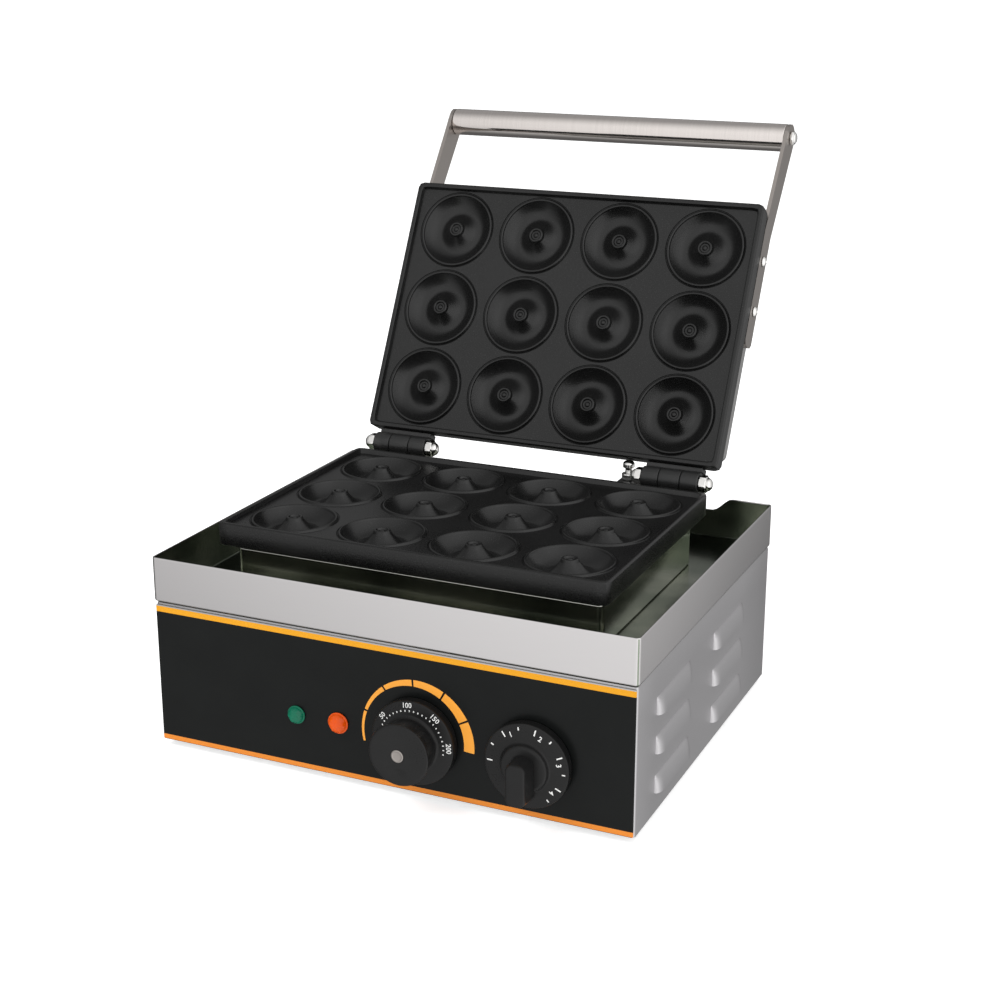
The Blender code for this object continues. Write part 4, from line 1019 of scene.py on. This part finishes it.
def cap_nut(node, body, side, extent, carry=lambda place: place):
    """A cap nut on an x axis: a chamfered hexagon, a neck and a dome that is half an ellipsoid."""
    low, high = extent
    middle = (low + high) / 2
    across_flats = high[1] - low[1] if high[1] - low[1] < high[2] - low[2] else high[2] - low[2]
    length = high[0] - low[0]
    start = low[0] if side > 0 else high[0]
    tall = length * 0.57
    half = across_flats / 2
    t = np.linspace(0, math.pi / 2, 12)
    dome = np.stack([half * 0.84 * np.cos(t), tall + 0.0003 + (length - tall - 0.0003) * np.sin(t)], -1)
    body_rows = [(0.0, 0.0), (half * 0.96, 0.0), (half * 1.06, 0.0005), (half * 1.16, 0.0010),
                 (half * 1.16, tall - 0.0010), (half * 1.05, tall - 0.0004), (half * 0.96, tall)]
    profile = np.concatenate([body_rows, dome])
    profile[-1, 0] = 0.0
    spots = nut(profile, across_flats) * [1, 1, side]
    Skin().grid(spots).build(
        node + "_skin", look("plated"), body, "bright_fastener", (node,), 25,
        carry(across((start, middle[1], middle[2]))))


class DONUT_OT_hinges(bpy.types.Operator):
    """Build the cast hinge leaves with their knuckles, the cap nuts, and the lid's stop screw"""
    bl_idname = "donut.hinges"
    bl_label = "Hinges"

    def execute(self, context):
        rear = box("lower_mould_plate")[1][1] + GAP
        for side, name in ((-1, "left"), (1, "right")):
            low, high = box("hinge_pin_" + name)
            middle = (low[0] + high[0]) / 2
            pin = (high[1] - low[1]) / 2
            self.lower_leaf(name, side, middle, rear, pin)
            self.upper_leaf(name, middle, rear, pin)
            dress("hinge_pin_" + name, look("plated"))
            for direction, end in ((-1, "left"), (1, "right")):
                node = "hinge_nut_%s_%s" % (name, end)
                cap_nut(node, "base", direction, box(node))
        self.stop_screw()
        return {"FINISHED"}

    def knuckle(self, start, end, pin):
        """A knuckle with its bore: a square-ended ring whose outer edges are eased."""
        bore = pin + GAP
        out = KNUCKLE_RADIUS
        middle = (start + end) / 2
        ring = [(bore, middle), (bore, start), (out, start), (out, end), (bore, end), (bore, middle)]
        return turned(eased(ring, 0.0011, 4), 56)

    def lower_leaf(self, name, side, middle, rear, pin):
        low, high = box("hinge_leaf_lower_" + name)
        skin = Skin()
        skin.grid(slab((low[0], rear, 0.1525), (high[0], rear + 0.004, 0.1640), 0.0008, 0.0012))
        skin.grid(slab((middle - 0.0072, rear + 0.002, 0.1575),
                       (middle + 0.0072, HINGE[1] - 0.0060, 0.1662), 0.0008, 0.0014))
        if side > 0:
            skin.grid(slab((low[0] + 0.0002, rear + 0.001, 0.1582),
                           (middle - 0.0236, high[1], 0.1628), 0.0030, 0.0010))
        spots = self.knuckle(middle - MIDDLE_KNUCKLE, middle + MIDDLE_KNUCKLE, pin)
        place = across((0.0, HINGE[1], HINGE[2]))(spots.reshape(-1, 3)).reshape(spots.shape)
        skin.grid(place, along=True)
        skin.build("lower_leaf_%s_skin" % name, look("hinge_iron"), "base", "black_hinge_iron",
                   ("hinge_leaf_lower_" + name,), 35)

    def upper_leaf(self, name, middle, rear, pin):
        low, high = shut_box("upper_mould_plate")
        skin = Skin()
        skin.grid(slab((middle - 0.0228, rear, low[2] + 0.0030),
                       (middle + 0.0228, rear + 0.004, high[2] - 0.0005), 0.0008, 0.0012))
        for start, end in ((-0.0228, -0.0088), (0.0088, 0.0228)):
            skin.grid(slab((middle + start + 0.001, rear + 0.002, low[2] + 0.0035),
                           (middle + end - 0.001, HINGE[1] - 0.0055, HINGE[2] + 0.0080), 0.0008, 0.0014))
            spots = self.knuckle(middle + start, middle + end, pin)
            place = across((0.0, HINGE[1], HINGE[2]))(spots.reshape(-1, 3)).reshape(spots.shape)
            skin.grid(place, along=True)
        skin.build("upper_leaf_%s_skin" % name, look("hinge_iron"), "lid", "black_hinge_iron",
                   ("hinge_leaf_upper_" + name,), 35, opened)

    def stop_screw(self):
        low, high = box("lid_stop_screw")
        middle = (low + high) / 2
        z0, z1 = low[2], high[2]
        t = np.linspace(0, math.pi / 2, 8)
        head = np.stack([0.0046 * np.cos(t), z1 - 0.0029 + 0.0029 * np.sin(t)], -1)
        pitch = 0.0009
        turns = np.arange(z0 + 0.0010, z1 - 0.0066, pitch / 2)
        thread = np.stack([np.where(np.arange(len(turns)) % 2, 0.0028, 0.0025), turns], -1)
        start = [(0.0, z0), (0.0021, z0)]
        under_head = [(0.0028, z1 - 0.0056), (0.0046, z1 - 0.0054)]
        profile = np.concatenate([start, thread, under_head, head])
        profile[-1, 0] = 0.0
        Skin().grid(turned(profile, 36)).build(
            "stop_screw_skin", look("plated"), "base", "bright_fastener", ("lid_stop_screw",), 30,
            upright((middle[0], middle[1], 0.0)))
        low, high = box("lid_stop_nut")
        flats = 0.010
        profile = [(0.0031, low[2]), (flats * 0.48, low[2]), (flats * 0.58, low[2] + 0.0007),
                   (flats * 0.58, high[2] - 0.0007), (flats * 0.48, high[2]), (0.0031, high[2])]
        middle = (low + high) / 2
        Skin().grid(nut(profile, flats), along=True).build(
            "stop_nut_skin", look("plated"), "base", "bright_fastener", ("lid_stop_nut",), 25,
            upright((middle[0], middle[1], 0.0)))


def cone_height(radius, rows):
    """Height of a dial's printed cone at a radius, read off its profile."""
    rows = np.asarray(rows)
    return np.interp(radius, rows[:, 0], rows[:, 1])


def scale_marks(angles, radius, length, width, rows):
    """Printed strokes on a dial, one for each angle: thin bars along the radius that lie on its cone."""
    angles = np.radians(angles)[:, None, None]
    radial = radius + np.array([[[-0.5, 0.5, 0.5, -0.5]]]) * length
    radial = np.broadcast_to(radial, (angles.shape[0], 2, 4))
    sideways = np.broadcast_to(np.array([[-0.5, -0.5, 0.5, 0.5]])[None] * width, radial.shape)
    lift = np.array([0.00002, 0.00008])[None, :, None]
    height = cone_height(radial, rows) + lift
    x = radial * np.cos(angles) - sideways * np.sin(angles)
    y = radial * np.sin(angles) + sideways * np.cos(angles)
    return np.stack([x, y, height], axis=-1)


def numerals(words, rows, size):
    """Generic numbers printed on a dial: each word's outline, centred and turned so that its top
    points away from the axis, and laid on the cone."""
    points = []
    faces = []
    count = 0
    for word, angle, radius in words:
        curve = bpy.data.curves.new("numeral", "FONT")
        curve.body = word
        curve.size = size
        curve.align_x = "CENTER"
        curve.align_y = "CENTER"
        curve.extrude = 0.00003
        curve.offset = size * 0.012
        curve.resolution_u = 2
        made = bpy.data.objects.new("numeral", curve)
        bpy.context.scene.collection.objects.link(made)
        bpy.context.view_layer.update()
        mesh = bpy.data.meshes.new_from_object(made.evaluated_get(bpy.context.evaluated_depsgraph_get()))
        flat = np.empty(len(mesh.vertices) * 3, np.float32)
        mesh.vertices.foreach_get("co", flat)
        flat = flat.reshape(-1, 3).astype(float)
        turn = math.radians(angle - 90)
        u = flat[:, 0] * math.cos(turn) - (flat[:, 1] + radius) * math.sin(turn)
        v = flat[:, 0] * math.sin(turn) + (flat[:, 1] + radius) * math.cos(turn)
        height = cone_height(np.hypot(u, v), rows) + 0.00005 + flat[:, 2]
        points.append(np.stack([u, v, height], -1))
        faces += [[count + index for index in face.vertices] for face in mesh.polygons]
        count += len(flat)
        bpy.data.objects.remove(made)
        bpy.data.curves.remove(curve)
        bpy.data.meshes.remove(mesh)
    return np.concatenate(points), faces


class DONUT_OT_dials(bpy.types.Operator):
    """Build the thermostat's and the timer's knobs with their printed scales"""
    bl_idname = "donut.dials"
    bl_label = "Dials"

    def execute(self, context):
        self.thermostat()
        self.timer()
        return {"FINISHED"}

    def scale(self, name, body, centre, bars, words, rows, size):
        skin = Skin()
        for bar in bars:
            for strokes in scale_marks(*bar, rows):
                skin.grid(strokes)
        points, faces = numerals(words, rows, size)
        skin.faces += [[index + skin.count for index in face] for face in faces]
        skin.points.append(points)
        skin.marks.append(np.zeros(len(points)))
        skin.count += len(points)
        skin.build(name, look("print_white"), body, "black_phenolic", (), 30, facing(centre))

    def thermostat(self):
        skirt = [(0.0206, 0.0098), (0.0304, 0.0082)]
        side = eased([(0.0033, 0.0140), (0.0033, 0.0006), (0.0306, 0.0006), (0.0310, 0.0078), (0.0303, 0.0083),
                      (0.0206, 0.0098), (0.0192, 0.0116), (0.0200, 0.0250), (0.0222, 0.0268), (0.0226, 0.0282),
                      (0.0218, 0.0295), (0.0200, 0.0299)], 0.0010, 4)
        r = np.linspace(0.0196, 0.0, 24)
        face = np.stack([r, 0.0299 + 0.0003 * (1 - (r / 0.02) ** 2)], -1)
        spots = turned(np.concatenate([[(0.0, 0.0140)], side, face]), 96)
        # The finger dimple is a Gaussian dip below the middle of the disc.
        dip = np.exp(-(spots[..., 0] / 0.0046) ** 2 - ((spots[..., 1] + 0.0125) / 0.0024) ** 2)
        spots[..., 2] -= np.where(spots[..., 2] > 0.029, 0.0011 * dip, 0.0)
        Skin().grid(spots).build("thermostat_knob_skin", look("phenolic"), "thermostat_dial", "black_phenolic",
                                 ("thermostat_knob",), 30, facing(THERMOSTAT))
        # A plain screw cover stands in the middle of the disc.
        cover = eased([(0.0, 0.0297), (0.0046, 0.0297), (0.0046, 0.0306), (0.0037, 0.03085), (0.0032, 0.0306),
                       (0.0, 0.0306)], 0.0002, 3)
        Skin().grid(turned(cover, 48)).build("thermostat_cap", look("arm_steel"), "thermostat_dial",
                                            "bright_fastener", (), 30, facing(THERMOSTAT))
        dots = np.linspace(178, -8, 25)
        words = [("50", 143, 0.0277), ("100", 97, 0.0277), ("150", 51, 0.0277), ("200", 3, 0.0277)]
        self.scale("thermostat_scale", "thermostat_dial", THERMOSTAT,
                   [(dots, 0.0242, 0.0011, 0.0008)], words, skirt, 0.0050)
        dress("thermostat_shaft", look("plated"))

    def timer(self):
        skirt = [(0.0182, 0.0096), (0.0299, 0.0082)]
        side = [(0.0033, 0.0100), (0.0033, 0.0006), (0.0301, 0.0006), (0.0305, 0.0078), (0.0298, 0.0083),
                (0.0182, 0.0096), (0.0172, 0.0106), (0.0166, 0.0132), (0.0154, 0.0142), (0.0, 0.0146)]
        side = eased(side, 0.0010, 4)
        spots = turned(np.concatenate([[(0.0, 0.0100)], side]), 96)
        Skin().grid(spots).build("timer_knob_skin", look("phenolic"), "timer_dial", "black_phenolic",
                                 ("timer_knob",), 30, facing(TIMER))
        profile = eased([(-0.0010, 0.0125), (0.0, 0.0260), (0.0008, 0.0280), (0.0040, 0.0282)], 0.0012, 5)
        grip = walled(0.0072, 0.01525, 0.0050, profile, 8) + [0.0, -0.00625, 0.0]
        Skin().grid(grip).build("timer_grip", look("phenolic"), "timer_dial", "black_phenolic", (), 30,
                                facing(TIMER))
        bars = [(np.array([180.0, 128.0, 76.0, 24.0, -28.0]), 0.0262, 0.0042, 0.0009),
                (np.array([154.0, 102.0, 50.0, -2.0, -54.0]), 0.0270, 0.0022, 0.0009)]
        words = [(str(k + 1), a - 11, 0.0240) for k, a in enumerate((128.0, 76.0, 24.0, -28.0))]
        self.scale("timer_scale", "timer_dial", TIMER, bars, words, skirt, 0.0052)
        dress("timer_shaft", look("plated"))


class DONUT_OT_front(bpy.types.Operator):
    """Dress the printed fascia and build the two lamps"""
    bl_idname = "donut.front"
    bl_label = "Fascia and lamps"

    def execute(self, context):
        low, high = box("front_fascia")
        dress("front_fascia", fascia_print(settings()[2], low, high))
        for name in ("green", "orange"):
            node = "indicator_lamp_" + name
            low, high = box(node)
            middle = (low + high) / 2
            wide = (high[0] - low[0]) / 2
            base = THERMOSTAT[1] - GAP
            back = high[1]
            depth = base - low[1]
            t = np.linspace(0, math.pi / 2, 14)
            dome = np.stack([wide * 0.90 * np.cos(t), 0.0012 + (depth - 0.0012) * np.sin(t)], -1)
            side = [(0.0056, base - back), (0.0056, 0.0), (wide, 0.0), (wide, 0.0010), (wide * 0.90, 0.0012)]
            side = eased(side, 0.0003, 3)
            profile = np.concatenate([[(0.0, base - back)], side, dome])
            profile[-1, 0] = 0.0
            spots = turned(profile, 72)
            # The dome is moulded with flutes: its radius swells six times round, most at mid height.
            angle = np.arctan2(spots[..., 1], spots[..., 0])
            share = np.clip((spots[..., 2] - 0.0014) / depth, 0, 1)
            flute = 1 - 0.10 * np.sin(math.pi * share) * np.abs(np.sin(3 * angle))
            spots[..., :2] *= np.where(spots[..., 2:] > 0.0014, flute[..., None], 1.0)
            Skin().grid(spots).build(
                "lamp_%s_skin" % name, look("lens_" + name), "base", "lamp_%s_lens" % name, (node,), 50,
                facing((middle[0], base, middle[2])))
        return {"FINISHED"}


class DONUT_OT_fittings(bpy.types.Operator):
    """Build the feet, the foot screws and the cable glands"""
    bl_idname = "donut.fittings"
    bl_label = "Feet and glands"

    def execute(self, context):
        corners_of = ("front_left", "front_right", "rear_left", "rear_right")
        foot = eased([(0, 0.0), (0.0080, 0.0), (0.0095, 0.0050), (0.0033, 0.0050), (0.0033, 0.0067),
                      (0.0044, 0.0067), (0.0022, 0.0106), (0, 0.0108)], 0.0006, 3)
        screw = eased([(0, 0.0036), (0.0028, 0.0037), (0.0035, 0.0050), (0.0018, 0.0050), (0.0018, 0.0122),
                       (0, 0.0125)], 0.0004, 3)
        for name in corners_of:
            self.standing("foot_" + name, foot, "foot_rubber", "rubber_black")
            self.standing("bottom_screw_" + name, screw, "plated", "bright_fastener")
        for node, body, carry, radius in (
            ("cord_gland", "base", False, 0.0080), ("base_lead_gland", "base", False, 0.0060),
            ("lid_lead_gland", "lid", True, 0.0048),
        ):
            self.gland(node, body, carry, radius)
        return {"FINISHED"}

    def standing(self, node, profile, finish, slot):
        low, high = box(node)
        middle = (low + high) / 2
        Skin().grid(turned(profile, 48)).build(
            node + "_skin", look(finish), "base", slot, (node,), 30, upright((middle[0], middle[1], 0.0)))

    def gland(self, node, body, carry, radius):
        """A cable gland: a hexagon flange on the wall, a round neck that narrows towards its end, and an open
        bore.
        """
        low, high = shut_box(node) if carry else box(node)
        middle = (low + high) / 2
        wall = low[1] + 0.009 + GAP
        bore = radius * 0.5
        rows = [(bore, -0.0090), (radius, -0.0090), (radius, 0.0), (radius * 1.70, 0.0),
                (radius * 1.70, 0.0050), (radius * 1.22, 0.0052), (radius * 1.15, 0.0058),
                (radius * 1.15, 0.0096), (radius * 0.85, 0.0130), (bore, 0.0130)]
        spots = nut(eased(rows, 0.0004, 3), radius * 2.7)
        back = lambda spots: spots[:, [0, 2, 1]] * [-1, 1, 1] + [middle[0], wall, middle[2]]
        Skin().grid(spots, along=True).build(
            node + "_skin", look("phenolic"), body, "black_phenolic", (node,), 30,
            (lambda spots: opened(back(spots))) if carry else back)


class DONUT_OT_stage(bpy.types.Operator):
    """Set the pale floor, the soft lights and the camera"""
    bl_idname = "donut.stage"
    bl_label = "Stage"

    def execute(self, context):
        stage = settings()[3]
        self.floor()
        self.camera(stage)
        self.light("key", (-1.2, -1.3, 2.1), 1.5, 26.0)
        self.light("top", (0.1, 0.7, 2.4), 1.6, 12.0)
        self.world()
        context.scene.view_settings.view_transform = "Standard"
        return {"FINISHED"}

    def floor(self):
        mesh = bpy.data.meshes.new("floor")
        mesh.from_pydata([(-9, -9, 0), (9, -9, 0), (9, 9, 0), (-9, 9, 0)], [], [(0, 1, 2, 3)])
        floor = bpy.data.objects.new("floor", mesh)
        bpy.context.scene.collection.objects.link(floor)
        paper = Paint("floor_paper", (0.90, 0.90, 0.90), 0.9)
        paper.set("Emission Color", rgb(1, 1, 1))
        paper.set("Emission Strength", 0.55)
        mesh.materials.append(paper.material)
        floor.visible_glossy = False

    def camera(self, stage):
        data = bpy.data.cameras.new("camera")
        data.sensor_width = 36.0
        data.lens = stage.lens
        data.clip_end = 50.0
        camera = bpy.data.objects.new("camera", data)
        bpy.context.scene.collection.objects.link(camera)
        level = math.cos(stage.elevation)
        back = Vector((math.sin(stage.azimuth) * level, -math.cos(stage.azimuth) * level,
                       math.sin(stage.elevation)))
        camera.location = Vector(stage.target) + back * stage.distance
        camera.rotation_mode = "QUATERNION"
        camera.rotation_quaternion = (-back).to_track_quat("-Z", "Y")
        bpy.context.scene.camera = camera

    def light(self, name, spot, size, power):
        data = bpy.data.lights.new(name, "AREA")
        data.shape = "DISK"
        data.size = size
        data.energy = power
        lamp = bpy.data.objects.new(name, data)
        lamp.visible_glossy = False
        bpy.context.scene.collection.objects.link(lamp)
        lamp.location = spot
        lamp.rotation_mode = "QUATERNION"
        lamp.rotation_quaternion = (Vector((0, 0, 0.15)) - Vector(spot)).to_track_quat("-Z", "Y")

    def world(self):
        """White behind the appliance. What it reflects is brightest in front, softer to its right and
        above, and dark behind it."""
        world = bpy.data.worlds.new("studio")
        world.use_nodes = True
        studio = Graph(world.node_tree, "Background")
        x, y, z = studio.axes()
        front = (x * 0.6 - y).ramp(-0.55, 0.95)
        side = (x + y * 0.2).ramp(0.20, 0.70)
        above = z.ramp(0.05, 0.60)
        glow = 0.12 + front * 0.92 + side * 0.42 + above * (0.24 - front * 0.18)
        seen = studio.node("ShaderNodeLightPath", output=0)
        studio.set("Color", rgb(1, 1, 1))
        studio.set("Strength", glow + seen * (1.2 - glow))
        bpy.context.scene.world = world


OPERATORS = (
    DONUT_OT_stage, DONUT_OT_shell, DONUT_OT_tray, DONUT_OT_moulds, DONUT_OT_lid, DONUT_OT_handle,
    DONUT_OT_hinges, DONUT_OT_dials, DONUT_OT_front, DONUT_OT_fittings,
)


class DONUT_PT_panel(bpy.types.Panel):
    """Lists the pieces and their sizes"""
    bl_idname = "DONUT_PT_panel"
    bl_label = "Donut maker"
    bl_space_type = "VIEW_3D"
    bl_region_type = "UI"
    bl_category = "Donut maker"

    def draw(self, context):
        for operator in OPERATORS:
            self.layout.operator(operator.bl_idname)
        for group in settings():
            for key in group.bl_rna.properties.keys():
                if key not in ("rna_type", "name"):
                    self.layout.prop(group, key)


GROUPS = {
    "donut_mould": MouldSettings, "donut_shell": ShellSettings,
    "donut_fascia": FasciaSettings, "donut_stage": StageSettings,
}


def register():
    for group in (*GROUPS.values(), *OPERATORS, DONUT_PT_panel):
        bpy.utils.register_class(group)
    for name, group in GROUPS.items():
        setattr(bpy.types.Scene, name, bpy.props.PointerProperty(type=group))


def unregister():
    for name in GROUPS:
        delattr(bpy.types.Scene, name)
    for group in (*GROUPS.values(), *OPERATORS, DONUT_PT_panel):
        bpy.utils.unregister_class(group)


def main():
    register()
    for operator in OPERATORS:
        group, name = operator.bl_idname.split(".")
        getattr(getattr(bpy.ops, group), name)()


if __name__ == "__main__":
    main()
